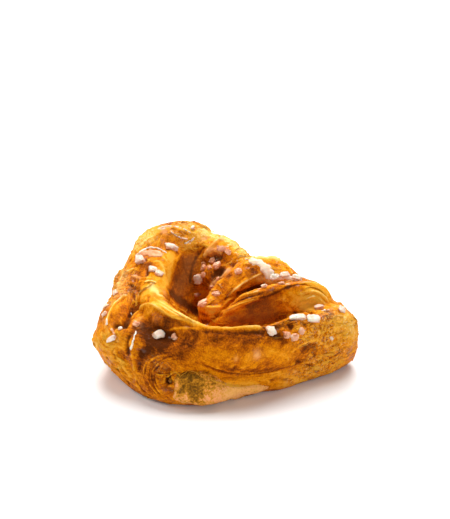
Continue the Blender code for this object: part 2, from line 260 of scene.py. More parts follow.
TOP_MARKS = [
    lip(1.0, 0.35, bake=-0.1, at=[(195, 236), (186, 231), (176, 228), (166, 227.5), (158, 230)]),
    tone(3.8, bake=0.14, gloss=0.4, calm=0.4, at=[(161, 235), (174, 237), (186, 238)]),
    tone(2.6, bake=-0.3, pale=0.25, at=[(178, 249), (185, 246), (193, 243)]),
    tone(2.2, bake=-0.2, pale=0.2, at=[(163, 252), (170, 254), (176, 251)]),
    tone(1.0, bake=0.4, at=[(161, 232), (162, 235)]),
    tone(1.3, bake=0.4, at=[(176, 231.5), (183, 232.5), (190, 235)]),
    tone(1.6, bake=-0.2, at=[(168, 236), (173, 237), (178, 239)]),
    ridge(0.5, 0.3, bake=-0.3, at=[(184, 246), (190, 244), (196, 240)]),
    ridge(0.5, 0.3, peach=0.3, gloss=0.5, at=[(170, 230), (175, 234.5), (181, 237), (187, 239)]),
    tone(1.5, bake=0.25, at=[(163, 223.5), (170, 222), (174, 222)]),
    tone(1.8, peach=0.3, pale=0.5, rough=0.6, at=[(177, 224), (187, 225), (196, 226)]),
    # Painted highlight: pale where the back light overexposes the top edge.
    tone(3.4, pale=1.0, bake=-0.5, at=[(194, 228), (203, 230), (212, 236)]),
    tone(1.6, bake=-0.3, at=[(203, 226), (208, 230), (212, 234)]),
    tone(2.0, bake=-0.25, pale=0.35, at=[(176, 229), (186, 231), (196, 235), (203, 240)]),
    tone(1.6, peach=0.6, pale=0.4, at=[(200, 237), (208, 239)]),
    tone(1.8, peach=0.75, at=[(160, 230), (167, 229)]),
    tone(2.6, bake=-0.12, at=[(146, 246), (152, 242), (158, 238)]),
    crease(0.6, 0.3, bake=0.2, at=[(150, 244), (155, 240), (157, 234)]),
    tone(1.5, bake=0.2, at=[(142, 262), (149, 260)]),
]
# In the hollow's far side, the darkness of the press and the creases is painted shade.
BACK_MARKS = [
    ridge(0.8, 0.8, pale=0.35, peach=0.3, at=[(204, 258), (208, 251), (213, 245), (219, 240), (226, 241)]),
    ridge(0.7, 0.8, pale=0.3, peach=0.5, at=[(208, 254), (213, 250), (218, 251), (222, 254)]),
    crease(1.8, 1.2, bake=0.4, rough=0.6, at=[(208, 263), (214, 258), (221, 258), (226, 262)]),
    crease(1.6, 1.2, bake=0.7, at=[(213, 276), (219, 271), (225, 265)]),
    press(2.6, 1.8, bake=0.6, dusk=0.3, at=[(204, 286), (210, 280), (217, 273), (225, 266)]),
    tone(2.4, bake=0.3, rough=0.7, at=[(206, 268), (212, 270), (218, 268)]),
    tone(1.8, bake=-0.25, peach=0.2, at=[(208, 256), (213, 251), (219, 253)]),
    tone(2.2, bake=-0.15, at=[(222, 244), (230, 248), (238, 256)]),
    # Painted highlight: pale along the top edge, which the back light overexposes.
    tone(3.0, pale=0.95, bake=-0.2, rough=0.8,
         at=[(208, 235), (218, 237), (228, 241), (238, 247), (246, 253), (253, 261)]),
]
LOBE_MARKS = [
    swell(4.4, 2.1, at=[(222, 322), (217, 315), (213, 307), (212, 299), (215, 291), (221, 284)]),
    swell(4.2, 1.6, bake=-0.1, at=[(218, 326), (211, 320), (208, 313), (211, 305), (214, 297)]),
    swell(2.4, 1.2, at=[(216, 291), (221, 283), (228, 275)]),
    lip(0.8, 0.35, bake=-0.1, at=[(200, 311), (208, 309), (217, 309), (225, 306)]),
    tone(2.6, rough=0.8, bake=0.05, at=[(204, 300), (209, 293), (216, 286), (222, 280)]),
    tone(1.3, bake=0.3, rough=0.5, at=[(196, 303), (205, 305), (214, 305), (224, 303)]),
    tone(2.2, bake=-0.25, at=[(197, 297), (206, 294), (216, 295), (228, 297)]),
    tone(2.6, bake=-0.3, at=[(198, 316), (207, 315), (216, 314), (226, 311)]),
    tone(3.2, bake=0.42, at=[(231, 268), (227, 278), (226, 290), (233, 283)]),
    tone(1.4, bake=-0.2, pale=0.3, at=[(252, 274), (257, 279), (264, 283)]),
    ridge(0.7, 0.5, peach=0.4, pale=0.3, at=[(204, 298), (209, 289), (216, 280), (223, 273), (230, 268)]),
    tone(2.2, peach=0.6, rough=0.9, at=[(212, 297), (214, 289), (218, 281)]),
    tone(2.6, bake=-0.1, calm=0.4, at=[(212, 308), (222, 298), (230, 286), (240, 279)]),
    ridge(0.8, 0.5, bake=-0.2, calm=0.6, at=[(236, 291), (241, 284), (248, 278)]),
    crease(0.5, 0.4, bake=0.25, at=[(224, 301), (229, 294), (234, 288)]),
    # This thin pale ridge on the crease edge is partly painted highlight.
    ridge(0.4, 0.35, pale=0.6, gloss=0.5,
          at=[(226.6, 297), (237, 287.5), (246.7, 281), (256, 276), (263, 273)]),
    tone(1.3, bake=0.45, at=[(225, 275), (232, 275.5)]),
    tone(1.8, bake=0.4, gloss=0.5, at=[(230, 266), (238, 264)]),
    tone(2.0, bake=0.5, gloss=0.6, at=[(245, 265), (253, 269), (259, 273)]),
    tone(1.3, peach=0.6, at=[(224, 271), (231, 269)]),
    tone(1.3, peach=0.6, at=[(236, 272), (240, 273)]),
    tone(1.6, bake=0.4, at=[(273, 263), (278, 267)]),
    ridge(0.7, 0.6, pale=0.4, at=[(266, 257), (275, 258.5), (284, 262), (290, 268), (293, 274)]),
    # Painted highlight: pale along the top edge, which the back light overexposes.
    tone(2.0, pale=1.0, bake=-0.2, at=[(246, 258), (254, 257.5), (264, 257), (274, 258.5), (284, 263)]),
    tone(2.4, rough=0.8, bake=0.05, at=[(268, 266), (280, 269), (288, 272)]),
    crease(1.3, 1.2, bake=0.35, at=[(236, 295), (246, 291.5), (257, 288), (268, 285)]),
    tone(2.2, bake=0.2, calm=0.9, at=[(247, 288), (256, 284), (266, 280)]),
    tone(1.6, peach=0.3, pale=0.4, rough=0.5, at=[(256, 276), (268, 280), (282, 280), (298, 279)]),
    crease(0.7, 0.5, bake=0.15, at=[(203, 314), (212, 317), (222, 313)]),
    ridge(0.7, 0.5, bake=-0.1, at=[(204, 312), (213, 310), (222, 308)]),
    crease(0.8, 0.6, bake=0.3, at=[(203, 322), (212, 321), (224, 313)]),
]
EAR_MARKS = [
    lip(1.5, 0.85, bake=-0.2, calm=0.3,
        at=[(221, 315), (229, 311), (239, 306), (250, 302), (262, 297.5), (274, 292.5), (286, 288)]),
    ridge(0.4, 0.3, pale=0.4, at=[(223, 306), (229, 300), (237, 297), (248, 293.5), (262, 290.5)]),
    crease(0.35, 0.25, bake=0.25, at=[(227, 307), (238, 301), (250, 297), (262, 293.5)]),
    ridge(0.35, 0.2, bake=-0.2, at=[(226, 309), (237, 303.5), (248, 299.5), (258, 296)]),
    tone(1.3, bake=0.35, at=[(258, 294.5), (266, 292.5), (275, 289.5), (283, 285.5)]),
    tone(1.4, bake=0.3, at=[(226, 307), (240, 302), (256, 298), (272, 293), (290, 288), (300, 291)]),
    crease(0.6, 0.5, bake=0.4, at=[(258, 299), (268, 296), (278, 291.5), (291, 285)]),
    # The dark, greyed colour in the ear's recess under its lip is painted shade.
    press(3.6, 1.4, bake=0.15, dusk=0.4, calm=0.8, at=[(240, 312), (254, 308), (270, 304), (284, 301)]),
    tone(3.4, bake=0.15, dusk=0.65, calm=0.8, at=[(222, 320), (240, 320), (262, 318), (282, 313)]),
    tone(2.4, bake=-0.12, at=[(230, 314), (240, 312), (250, 311)]),
    tone(1.8, bake=0.3, at=[(238, 322), (248, 322)]),
    tone(2.0, bake=0.15, at=[(262, 303), (274, 300)]),
    tone(1.6, bake=-0.2, rough=0.6, at=[(280, 296), (286, 302)]),
    tone(6.0, bake=-0.5, calm=0.2, at=[(300, 292), (312, 296), (325, 303)]),
    tone(2.8, pale=0.3, at=[(304, 287), (314, 289), (322, 292), (328, 297), (331, 304)]),
    tone(3.0, bake=-0.4, at=[(294, 307), (302, 305), (312, 304), (322, 305), (330, 308)]),
    tone(1.6, bake=0.1, at=[(276, 317), (284, 315), (292, 313), (298, 312)]),
    ridge(0.5, 0.4, pale=0.3, at=[(297, 283.5), (307, 282.5), (316, 284.5), (324, 290), (330, 298)]),
    crease(0.45, 0.4, bake=0.4,
           at=[(286, 287.5), (296, 284.5), (303, 284), (311, 286.5), (320, 291), (328, 299)]),
    ridge(0.45, 0.4, pale=0.4, at=[(301, 292.5), (310, 291), (317, 292), (324, 297), (329, 304)]),
    crease(0.4, 0.35, bake=0.25, at=[(302, 296), (311, 293.5), (319, 296), (326, 303)]),
    ridge(0.45, 0.4, pale=0.4, at=[(303, 301), (309, 297), (315, 296.5), (321, 300), (326, 305.5)]),
    crease(0.4, 0.3, bake=0.2, at=[(296, 308), (304, 304), (312, 303), (320, 306)]),
    # A painted glint.
    ridge(0.4, 0.3, pale=0.3, gloss=0.4, at=[(311, 296), (315, 295)]),
    crease(0.9, 0.8, bake=0.25, at=[(292, 313), (299, 311.5), (307, 311), (313, 310.5)]),
]
FRONT_MARKS = [
    crease(0.8, 0.5, bake=0.2,
           at=[(197, 361), (208, 367), (222, 372), (240, 375), (258, 374), (275, 370.5), (292, 366)]),
    tone(6.0, calm=0.9,
         at=[(150, 352), (175, 354), (205, 356), (240, 358), (272, 357), (296, 356), (316, 352)]),
    swell(4.0, 0.5, bake=-0.08, at=[(204, 352), (214, 354), (228, 357), (256, 356), (290, 350)]),
    tone(3.4, bake=0.3, at=[(150, 349), (166, 347), (184, 347), (202, 346)]),
    tone(3.0, bake=0.22, at=[(160, 357), (176, 356), (190, 356)]),
    # Down to the three small swells, the light spots on the front bulge are painted highlight.
    tone(2.4, bake=-0.12, at=[(276, 363), (286, 358), (294, 357)]),
    swell(1.8, 0.5, peach=0.5, pale=0.2, gloss=0.4, at=[(252, 355), (261, 354)]),
    swell(1.3, 0.4, peach=0.3, at=[(233, 358), (238, 358)]),
    swell(1.2, 0.4, pale=0.35, at=[(286, 360), (289, 358)]),
    swell(1.4, 0.4, bake=-0.12, at=[(229, 365), (234, 367)]),
    swell(1.4, 0.4, bake=-0.15, at=[(241, 365), (244, 368)]),
    swell(1.4, 0.4, bake=-0.15, at=[(253, 364), (257, 367)]),
    tone(1.7, bake=0.25, at=[(262, 360), (268, 364), (264, 369)]),
    tone(1.3, bake=0.3, at=[(238, 371), (256, 371), (272, 369), (284, 366)]),
    tone(1.4, bake=0.2, at=[(222, 361), (226, 367), (238, 370)]),
    tone(3.4, bake=-0.12, calm=0.6, at=[(200, 368), (214, 376), (230, 381), (250, 382), (272, 379)]),
    tone(1.6, bake=0.2, at=[(222, 377), (238, 380), (252, 379)]),
    tone(5.5, bake=-0.26, rough=0.3, at=[(262, 380), (284, 375), (306, 371), (330, 364)]),
    crease(0.7, 0.4, bake=0.35, at=[(268, 381), (279, 378), (289, 380)]),
    swell(0.9, 0.4, pale=0.35, at=[(267, 382), (271, 381)]),
    swell(0.9, 0.4, peach=0.5, at=[(294, 370), (296, 373)]),
    tone(1.6, bake=0.25, at=[(302, 369), (309, 367), (315, 366)]),
    crease(0.6, 0.3, bake=0.35, at=[(313, 373), (320, 371)]),
    press(2.3, 0.8, bake=0.3, calm=0.9, at=[(299, 352), (309, 347.5), (319, 346)]),
    ridge(0.6, 0.4, bake=-0.2, pale=0.15, at=[(290, 353), (298, 347), (307, 342), (317, 340.5), (327, 345)]),
    crease(0.7, 0.4, bake=0.35, at=[(312, 351), (315, 356), (309, 359)]),
    tone(1.6, bake=0.4, at=[(292, 362), (298, 362), (304, 359)]),
    ridge(0.7, 0.35, bake=-0.15, at=[(300, 363), (312, 361), (326, 355), (338, 347)]),
    crease(0.6, 0.3, bake=0.2, at=[(304, 366), (314, 364), (328, 359), (342, 351)]),
    tone(7.0, rough=1.0, calm=-0.3, bake=-0.08, at=[(300, 336), (316, 333), (330, 334), (346, 350)]),
    tone(1.6, bake=0.2, at=[(306, 341), (318, 342), (330, 344)]),
    tone(5.0, rough=1.0, bake=0.0, at=[(300, 372), (318, 366), (336, 360), (352, 350)]),
    # The pale at the right end is partly painted highlight.
    tone(5.0, pale=0.65, bake=-0.5, rough=0.9, at=[(341, 311), (349, 320), (353, 332), (351, 346)]),
    tone(2.4, pale=0.3, bake=-0.2, at=[(332, 322), (340, 318), (344, 314)]),
    tone(4.8, bake=0.18, at=[(246, 371), (262, 368), (280, 365), (298, 366), (312, 366)]),
    tone(4.0, bake=0.14, at=[(204, 366), (224, 368), (246, 369)]),
    tone(3.0, bake=0.2, at=[(144, 384), (158, 376), (176, 371), (196, 368), (206, 368)]),
    tone(4.0, bake=0.12, at=[(150, 394), (166, 398), (184, 402)]),
    tone(2.2, bake=-0.3, pale=0.3, at=[(222, 381), (234, 384), (246, 384), (260, 381)]),
    tone(1.8, bake=0.3, at=[(354, 322), (358, 330)]),
    tone(2.2, bake=0.3, peach=0.25, at=[(347, 354), (354, 350), (358, 347)]),
    tone(1.6, bake=0.3, at=[(336, 352), (342, 347)]),
    tone(1.4, bake=0.25, at=[(318, 331), (326, 334), (322, 340)]),
    tone(3.0, bake=0.16, at=[(298, 350), (305, 358), (306, 366), (302, 376)]),
]
# The bake in the valley beside the roll and in the dark hole is painted shade.
ROLL_MARKS = [
    tone(5.0, bake=0.1, calm=0.7, at=[(150, 360), (148, 376), (158, 392)]),
    crease(1.3, 0.7, bake=0.34, at=[(146, 350), (141, 356), (139, 366), (139, 374)]),
    crease(0.7, 0.7, bake=0.3, at=[(136, 380), (142, 390), (151, 398)]),
    swell(0.9, 0.6, pale=0.3, at=[(136, 374), (136, 381)]),
    crease(1.5, 2.4, bake=0.8, at=[(165, 378.5), (168, 379.5), (171, 380.5)]),
    crease(1.0, 1.6, bake=0.8, at=[(167, 381), (171, 382), (175, 382)]),
    tone(2.4, bake=0.22, at=[(160, 370), (170, 373), (175, 382), (172, 392), (168, 398)]),
]
# The open end of the roll: its outermost and its innermost edge, and how many edges show between them.
ROLL_OUTER = [
    (172, 352), (158, 353), (148, 358), (143.5, 367), (143.5, 376), (148, 388), (156, 397), (166, 402),
]
ROLL_INNER = [
    (180, 361), (171, 362), (163, 366), (157.5, 374), (158, 384), (162.5, 392), (168.5, 397), (176, 401),
]
ROLL_LAYERS = 7
ROLL_SEED = 303

# The sides that the photograph hides, in millimetres: the strip's long seam, its creases and its bulges.
HIDDEN_MARKS = [
    lip(1.6, 1.5, bake=0.1,
        at=[(44, 2, 13), (30, 14, 19), (14, 27, 20), (-4, 40, 27), (-22, 42, 31), (-36, 32, 26),
            (-46, 8, 19)]),
    crease(1.2, 1.0, bake=0.3, at=[(40, 4, 7), (26, 15, 10), (14, 24, 14)]),
    crease(1.1, 0.9, bake=0.28, at=[(6, 32, 8), (-12, 42, 13), (-26, 41, 16), (-34, 36, 21)]),
    lip(1.3, 0.9, bake=0.05, at=[(-40, 26, 8), (-46, 12, 12), (-49, -4, 8)]),
    swell(4.5, 1.2, bake=-0.1, at=[(30, 12, 13), (16, 24, 15), (0, 36, 17)]),
    swell(5.0, 1.2, bake=-0.08, at=[(-20, 42, 18), (-36, 32, 18), (-44, 14, 16)]),
    crease(1.0, 0.9, bake=0.25, at=[(-14, 40, 34), (-24, 41, 36), (-34, 32, 34), (-38, 20, 29)]),
    crease(0.8, 0.8, bake=0.25, at=[(20, 16, 26), (8, 26, 30), (-4, 36, 34)]),
    press(3.0, 1.2, bake=0.15, at=[(46, 4, 18), (38, 8, 20)]),
    tone(5.0, pale=0.25, rough=0.7, at=[(-30, 34, 34), (-40, 20, 28)]),
    tone(5.0, bake=0.25, at=[(2, 32, 30), (14, 21, 28), (26, 12, 24), (36, 7, 21)]),
    tone(7.0, bake=0.3, at=[(46, 3, 8), (28, 14, 9), (12, 27, 9), (-8, 41, 10)]),
    tone(6.0, bake=0.28, at=[(-10, 43, 25), (-28, 38, 23), (-42, 20, 15), (-49, 0, 11)]),
    tone(4.0, bake=0.25, rough=0.5, at=[(-18, 42, 8), (-34, 33, 7), (-46, 12, 6), (-49, -6, 6)]),
]
MARKS = (FRONT_EDGE_MARKS + TENT_MARKS + LEFT_MARKS + BAND_MARKS + WALL_MARKS + TOP_MARKS + BACK_MARKS
         + LOBE_MARKS + EAR_MARKS + FRONT_MARKS + ROLL_MARKS + HIDDEN_MARKS)
# On the cream, the bake under the crust's jagged edge and in the dark patch at its left is painted shade.
CREAM_MARKS = [
    press(2.6, 0.8, bake=0.6, at=[(183, 377), (188, 384), (192, 394), (193, 403)]),
    tone(2.6, bake=0.35, at=[(176, 380), (189, 376), (201, 379)]),
    tone(2.2, bake=0.35, at=[(199, 380), (202, 392)]),
    press(1.2, 0.5, bake=0.4, at=[(179, 395), (181, 389)]),
    swell(1.3, 0.6, peach=0.9, at=[(187, 390), (186, 399)]),
    swell(1.1, 0.5, peach=0.7, at=[(175, 384), (179, 386)]),
    swell(1.1, 0.5, peach=0.8, at=[(174, 393), (177, 398)]),
    swell(1.5, 0.4, peach=0.7, at=[(204, 397), (210, 395)]),
    swell(2.0, 0.4, peach=0.5, at=[(212, 391), (219, 388)]),
    tone(2.2, peach=0.6, at=[(206, 402), (215, 401), (228, 398)]),
    tone(2.2, bake=0.5, at=[(190, 400), (199, 396), (208, 389), (214, 384)]),
    tone(1.1, bake=0.55, at=[(178, 378), (187, 374), (195, 376), (203, 379)]),
    tone(3.0, pale=0.8, peach=0.6, at=[(222, 392), (238, 390), (250, 388), (266, 385)]),
    tone(3.0, peach=0.4, pale=0.2, at=[(212, 389), (226, 392), (240, 393)]),
    tone(1.2, bake=0.35, at=[(214, 385), (224, 388), (234, 390)]),
    tone(2.0, bake=0.3, at=[(189, 375), (195, 382), (196, 394)]),
    press(2.6, 0.9, at=[(222, 401), (236, 398), (250, 394), (262, 392)]),
]

# Leaves: edges of thin layers that stand off the crust, with the leaf on the left of the line. Their pale
# and low bake are partly painted highlight on the lit edges.
Leaf = namedtuple("Leaf", "width lift tone path")


def thin_leaf(width, lift, at, **tones):
    return Leaf(width, lift, tones, at)


LEAVES = [
    thin_leaf(1.2, 0.4, bake=-0.3, pale=0.3,
              at=[(152, 305), (160, 309.5), (168, 315), (176, 318.5), (185, 321)]),
    thin_leaf(1.0, 0.4, bake=-0.3, pale=0.2, at=[(170, 309), (179, 315), (188, 319.5), (197, 323)]),
    thin_leaf(0.9, 0.4, bake=-0.25, pale=0.1, at=[(224, 311.5), (234, 307), (245, 302.5), (256, 299)]),
    thin_leaf(1.3, 0.6, bake=-0.2, pale=0.5,
              at=[(139, 299), (139.5, 294), (144, 289.5), (149, 286.5), (153, 283)]),
    thin_leaf(1.2, 0.5, bake=-0.2, pale=0.5, at=[(144, 283), (150, 282), (157, 284)]),
    thin_leaf(1.2, 0.6, pale=0.2, peach=0.3, at=[(222, 255), (217, 251), (212, 251), (207, 255)]),
    thin_leaf(1.3, 0.6, bake=0.1, peach=0.4, at=[(208, 287), (213, 284), (218, 285), (222, 288)]),
    thin_leaf(1.3, 0.6, bake=0.1, peach=0.4, at=[(208, 293), (213, 291), (219, 292), (222, 295)]),
    thin_leaf(1.2, 0.5, bake=0.1, peach=0.3, at=[(213, 281), (217, 278), (221, 278)]),
    thin_leaf(1.7, 0.5, bake=0.1, at=[(166, 377), (170, 376), (174, 373), (177, 374), (180, 376.5)]),
    thin_leaf(1.6, 0.5, bake=0.05,
              at=[(180, 377), (185, 374), (189, 371.5), (193, 372.5), (197, 374), (200, 377)]),
    thin_leaf(1.6, 0.5, bake=0.05, at=[(199, 377), (203, 375), (208, 377.5), (213, 381)]),
    thin_leaf(2.2, 0.3, bake=-0.4, pale=0.2,
              at=[(209, 379), (214, 382), (222, 385), (232, 387), (242, 387), (252, 385.5), (260, 383)]),
    thin_leaf(1.2, 0.4, pale=0.1, at=[(298, 304), (306, 300), (314, 300), (321, 303)]),
    thin_leaf(1.2, 0.4, bake=-0.1, pale=0.2, at=[(301, 296), (309, 292), (317, 293), (324, 298)]),
    thin_leaf(1.1, 0.4, bake=-0.1, pale=0.2, at=[(303, 289), (312, 287), (320, 290), (326, 296)]),
]

# Pearl sugar, by its middle, width, height and slant in degrees in the photograph, and how stained it is.
# Grains in the hollow are given more stain, which there is partly painted shade.
GRAINS = [
    (171, 248, 12, 8, 0, 0.4), (140, 261, 9, 9, 20, 0.35), (153, 270, 8, 6, -30, 0.3),
    (159, 274, 8, 6, -35, 0.5), (116, 293, 6, 5, 20, 0.3), (199, 279, 10, 9, 0, 0.35),
    (204, 275, 5, 5, 0, 1.0), (204, 268, 6, 5, 0, 1.0), (213, 261, 7, 6, -30, 0.9),
    (217, 266, 7, 7, 0, 0.8), (210, 268, 5, 5, 0, 1.0), (221, 249, 8, 5, 0, 0.9),
    (228, 252, 6, 5, -40, 0.9), (203, 304, 9, 6, 30, 0.9), (197, 295, 7, 4, 0, 0.9),
    (264, 287, 6, 5, 0, 0.7), (298, 318.5, 14, 7, 8, 0.0), (313, 319, 13, 7, 0, 0.0),
    (271, 331, 9, 8, 0, 0.2), (319, 308, 9, 6, 10, 0.5), (341, 310, 7, 6, -30, 0.2),
    (120, 329, 4, 5, 0, 0.1), (112, 339, 11, 5, 15, 0.2), (159, 335.5, 11, 7, 25, 0.35),
    (175, 337, 6, 5, -30, 0.9), (286, 335, 6, 9, 70, 0.9), (294, 337, 8, 6, 10, 0.9),
    (301, 331, 6, 5, 50, 0.9), (275, 277, 9, 6, 0, 0.1), (285, 275, 9, 5, 10, 0.2),
    (297, 278, 10, 5, 0, 0.1), (281, 284, 7, 4, 0, 0.9), (238, 272, 7, 5, 0, 0.8),
    (218, 279, 5, 3, 30, 0.9), (213, 287, 6, 4, 0, 0.9), (216, 294, 7, 4, 0, 0.9),
    (106, 307, 6, 4, 30, 0.4), (105, 314, 6, 4, 20, 0.4), (193, 228, 4, 4, -30, 0.3),
    (136, 324, 5, 6, 60, 1.0), (331, 338, 3, 4, 50, 0.3), (204, 264, 5, 4, 0, 1.0),
]

# Grains on the sides that the photograph hides: how many, and their widths and least gap in millimetres.
HIDDEN_GRAINS = 24
HIDDEN_WIDTHS = (2.0, 4.6)
HIDDEN_GAP = 7.0
SUGAR_SEED = 202

# Icing: pools and runs along lines in the photograph, their half widths in millimetres, and how stained.
# Some thin white runs are painted glints and highlights laid as icing.
Icing = namedtuple("Icing", "half_width stain path")
ICING = [
    Icing(1.9, 0.3, [(252, 260.5), (258, 262.5), (264, 267), (269, 273)]),
    Icing(0.8, 0.7, [(262, 270), (266, 275)]),
    Icing(0.5, 0.6, [(236, 261), (244, 259.5), (252, 260)]),
    # These two thin white runs along the top edge are painted highlights.
    Icing(0.45, 0.2, [(158, 229), (164, 227), (173, 226.5), (183, 229), (192, 233.5)]),
    Icing(0.4, 0.4, [(171, 232), (176, 235.5), (183, 238.5), (187, 239)]),
    Icing(2.2, 1.0, [(145, 254), (151, 253.5), (157, 254.5)]),
    Icing(0.5, 0.2, [(136, 256), (142, 250.5), (150, 247.5), (158, 248.5), (166, 252.5)]),
    Icing(0.6, 0.0, [(135.5, 332), (134, 338), (132.5, 344), (131, 349)]),
    # These two short runs at the curl's end are painted glints.
    Icing(0.5, 0.1, [(194, 238), (191, 241)]),
    Icing(0.45, 0.1, [(189, 241), (185, 243.5)]),
    Icing(0.6, 0.9, [(112, 330), (115, 335)]),
    Icing(1.2, 0.3, [(268, 277.5), (277, 277), (286, 277), (300, 279.3)]),
    # These three short runs on edges are painted glints.
    Icing(0.5, 0.2, [(322, 311), (329, 310)]),
    Icing(0.45, 0.1, [(131, 313), (132, 318)]),
    Icing(0.4, 0.1, [(107, 319), (107, 325)]),
]

# The icing's height above the crust, how far its rim and its underside are sunk, all in millimetres.
ICING_HEIGHT = 0.42
ICING_RIM = 0.06
ICING_DEPTH = 0.25

# How far a leaf's fixed edge is sunk in the crust, how thick a leaf of the photograph is, and the least and
# the most of a loose leaf's length, width, lift and thickness, all in millimetres.
LEAF_SUNK = 0.3
LEAF_THICKNESS = 0.3
FLAKE_LENGTHS = (1.8, 8.0)
FLAKE_WIDTHS = (0.7, 2.2)
FLAKE_LIFTS = (0.05, 0.4)
FLAKE_THICKNESSES = (0.16, 0.34)
FLAKE_SEED = 101

# How many loose leaves are tried, and where the crust is flakiest: place, reach in millimetres, extra share.
FLAKE_TRIES = 2600
FLAKY_PLACES = [
    ((45.0, -8.0, 16.0), 13.0, 0.6),
    ((-46.0, -14.0, 14.0), 12.0, 0.4),
    ((-38.0, 20.0, 24.0), 16.0, 0.4),
    ((-8.0, 38.0, 22.0), 18.0, 0.4),
]


# ------------------------------- numbers and noise

def smoothstep(low, high, values):
    share = np.clip((values - low) / (high - low), 0.0, 1.0)
    return share * share * (3.0 - 2.0 * share)


def lattice(x, y, z, seed):
    """A fixed random number from -1 to 1 for each point of whole numbers."""
    mixed = (x * 73856093) ^ (y * 19349663) ^ (z * 83492791) ^ (seed * 2654435761)
    mixed = (mixed & 0xFFFFFFFF).astype(np.uint64)
    for multiplier in (0x85EBCA6B, 0xC2B2AE35):
        mixed = ((mixed ^ (mixed >> np.uint64(15))) * np.uint64(multiplier)) & np.uint64(0xFFFFFFFF)
    mixed ^= mixed >> np.uint64(16)
    return mixed.astype(np.float64) / 0x7FFFFFFF - 1.0


def one_octave(points, seed):
    base = np.floor(points).astype(np.int64)
    part = points - base
    ease = part * part * part * (part * (part * 6.0 - 15.0) + 10.0)
    total = np.zeros(len(points))
    for dx in (0, 1):
        wx = ease[:, 0] if dx else 1.0 - ease[:, 0]
        for dy in (0, 1):
            wy = ease[:, 1] if dy else 1.0 - ease[:, 1]
            for dz in (0, 1):
                wz = ease[:, 2] if dz else 1.0 - ease[:, 2]
                corner = lattice(base[:, 0] + dx, base[:, 1] + dy, base[:, 2] + dz, seed)
                total += wx * wy * wz * corner
    return total


def noise(points, size, seed, octaves=2):
    """Smooth random values from about -1 to 1, in lumps of this size, for points in the same units."""
    total = np.zeros(len(points))
    strength = 1.0
    for octave in range(octaves):
        total += strength * one_octave(points / size * 2.0**octave + 31.7 * octave, seed + octave)
        strength *= 0.5
    return total


def unit(vectors):
    return vectors / np.maximum(np.linalg.norm(vectors, axis=-1, keepdims=True), 1e-12)


def curve_through(stations, closed, step):
    """Points at about this spacing on a smooth curve through the stations."""
    stations = np.array(stations, float)
    count = len(stations)
    points = []
    for i in range(count if closed else count - 1):
        if closed:
            a, b, c, d = (stations[(i + k) % count] for k in (-1, 0, 1, 2))
        else:
            a, b, c, d = (stations[min(max(i + k, 0), count - 1)] for k in (-1, 0, 1, 2))
        pieces = max(1, int(round(np.linalg.norm((c - b)[:2]) / step)))
        for t in np.arange(pieces) / pieces:
            points.append(0.5 * (2 * b + (c - a) * t + (2 * a - 5 * b + 4 * c - d) * t**2
                                 + (3 * b - a - 3 * c + d) * t**3))
    if not closed:
        points.append(stations[-1])
    return np.array(points)


# ------------------------------- meshes

def points_of(mesh):
    flat = np.empty(len(mesh.vertices) * 3, np.float32)
    mesh.vertices.foreach_get("co", flat)
    return flat.reshape(-1, 3).astype(float)


def normals_of(mesh):
    flat = np.empty(len(mesh.vertices) * 3, np.float32)
    mesh.vertex_normals.foreach_get("vector", flat)
    return flat.reshape(-1, 3).astype(float)


def move_points(mesh, points):
    mesh.vertices.foreach_set("co", points.astype(np.float32).ravel())
    mesh.update()


def store(mesh, name, values):
    """Keeps a number, or a vector, for each vertex, for the material to read."""
    kind = "FLOAT" if values.ndim == 1 else "FLOAT_VECTOR"
    attribute = mesh.attributes.get(name) or mesh.attributes.new(name, kind, "POINT")
    attribute.data.foreach_set("value" if kind == "FLOAT" else "vector", values.astype(np.float32).ravel())


def read_value(mesh, name):
    values = np.empty(len(mesh.vertices), np.float32)
    mesh.attributes[name].data.foreach_get("value", values)
    return values.astype(float)


def new_object(name, data):
    obj = bpy.data.objects.new(name, data)
    bpy.context.scene.collection.objects.link(obj)
    return obj


def applied(obj):
    """The object's mesh with its modifiers worked in, in place of the old one."""
    graph = bpy.context.evaluated_depsgraph_get()
    mesh = bpy.data.meshes.new_from_object(obj.evaluated_get(graph))
    obj.modifiers.clear()
    old = obj.data
    obj.data = mesh
    bpy.data.meshes.remove(old)
    mesh.name = obj.name
    return obj


def fine_copy(node, name, voxel, passes):
    """A fine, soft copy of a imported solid."""
    obj = new_object(name, node.data.copy())
    obj.data.materials.clear()
    remesh = obj.modifiers.new("fine", "REMESH")
    remesh.mode = "VOXEL"
    remesh.voxel_size = voxel * MM
    soften = obj.modifiers.new("soften", "SMOOTH")
    soften.factor = 0.5
    soften.iterations = passes
    return applied(obj)


def neighbour_average(mesh):
    """A function that averages each vertex's value with its neighbours', a number of times."""
    ends = np.empty(len(mesh.edges) * 2, np.int32)
    mesh.edges.foreach_get("vertices", ends)
    ends = ends.reshape(-1, 2)
    count = len(mesh.vertices)
    links = np.bincount(ends.ravel(), minlength=count).astype(float)

    def average(values, passes):
        for _ in range(passes):
            total = np.bincount(ends[:, 0], values[ends[:, 1]], count)
            total += np.bincount(ends[:, 1], values[ends[:, 0]], count)
            values = 0.5 * values + 0.5 * total / np.maximum(links, 1.0)
        return values

    return average


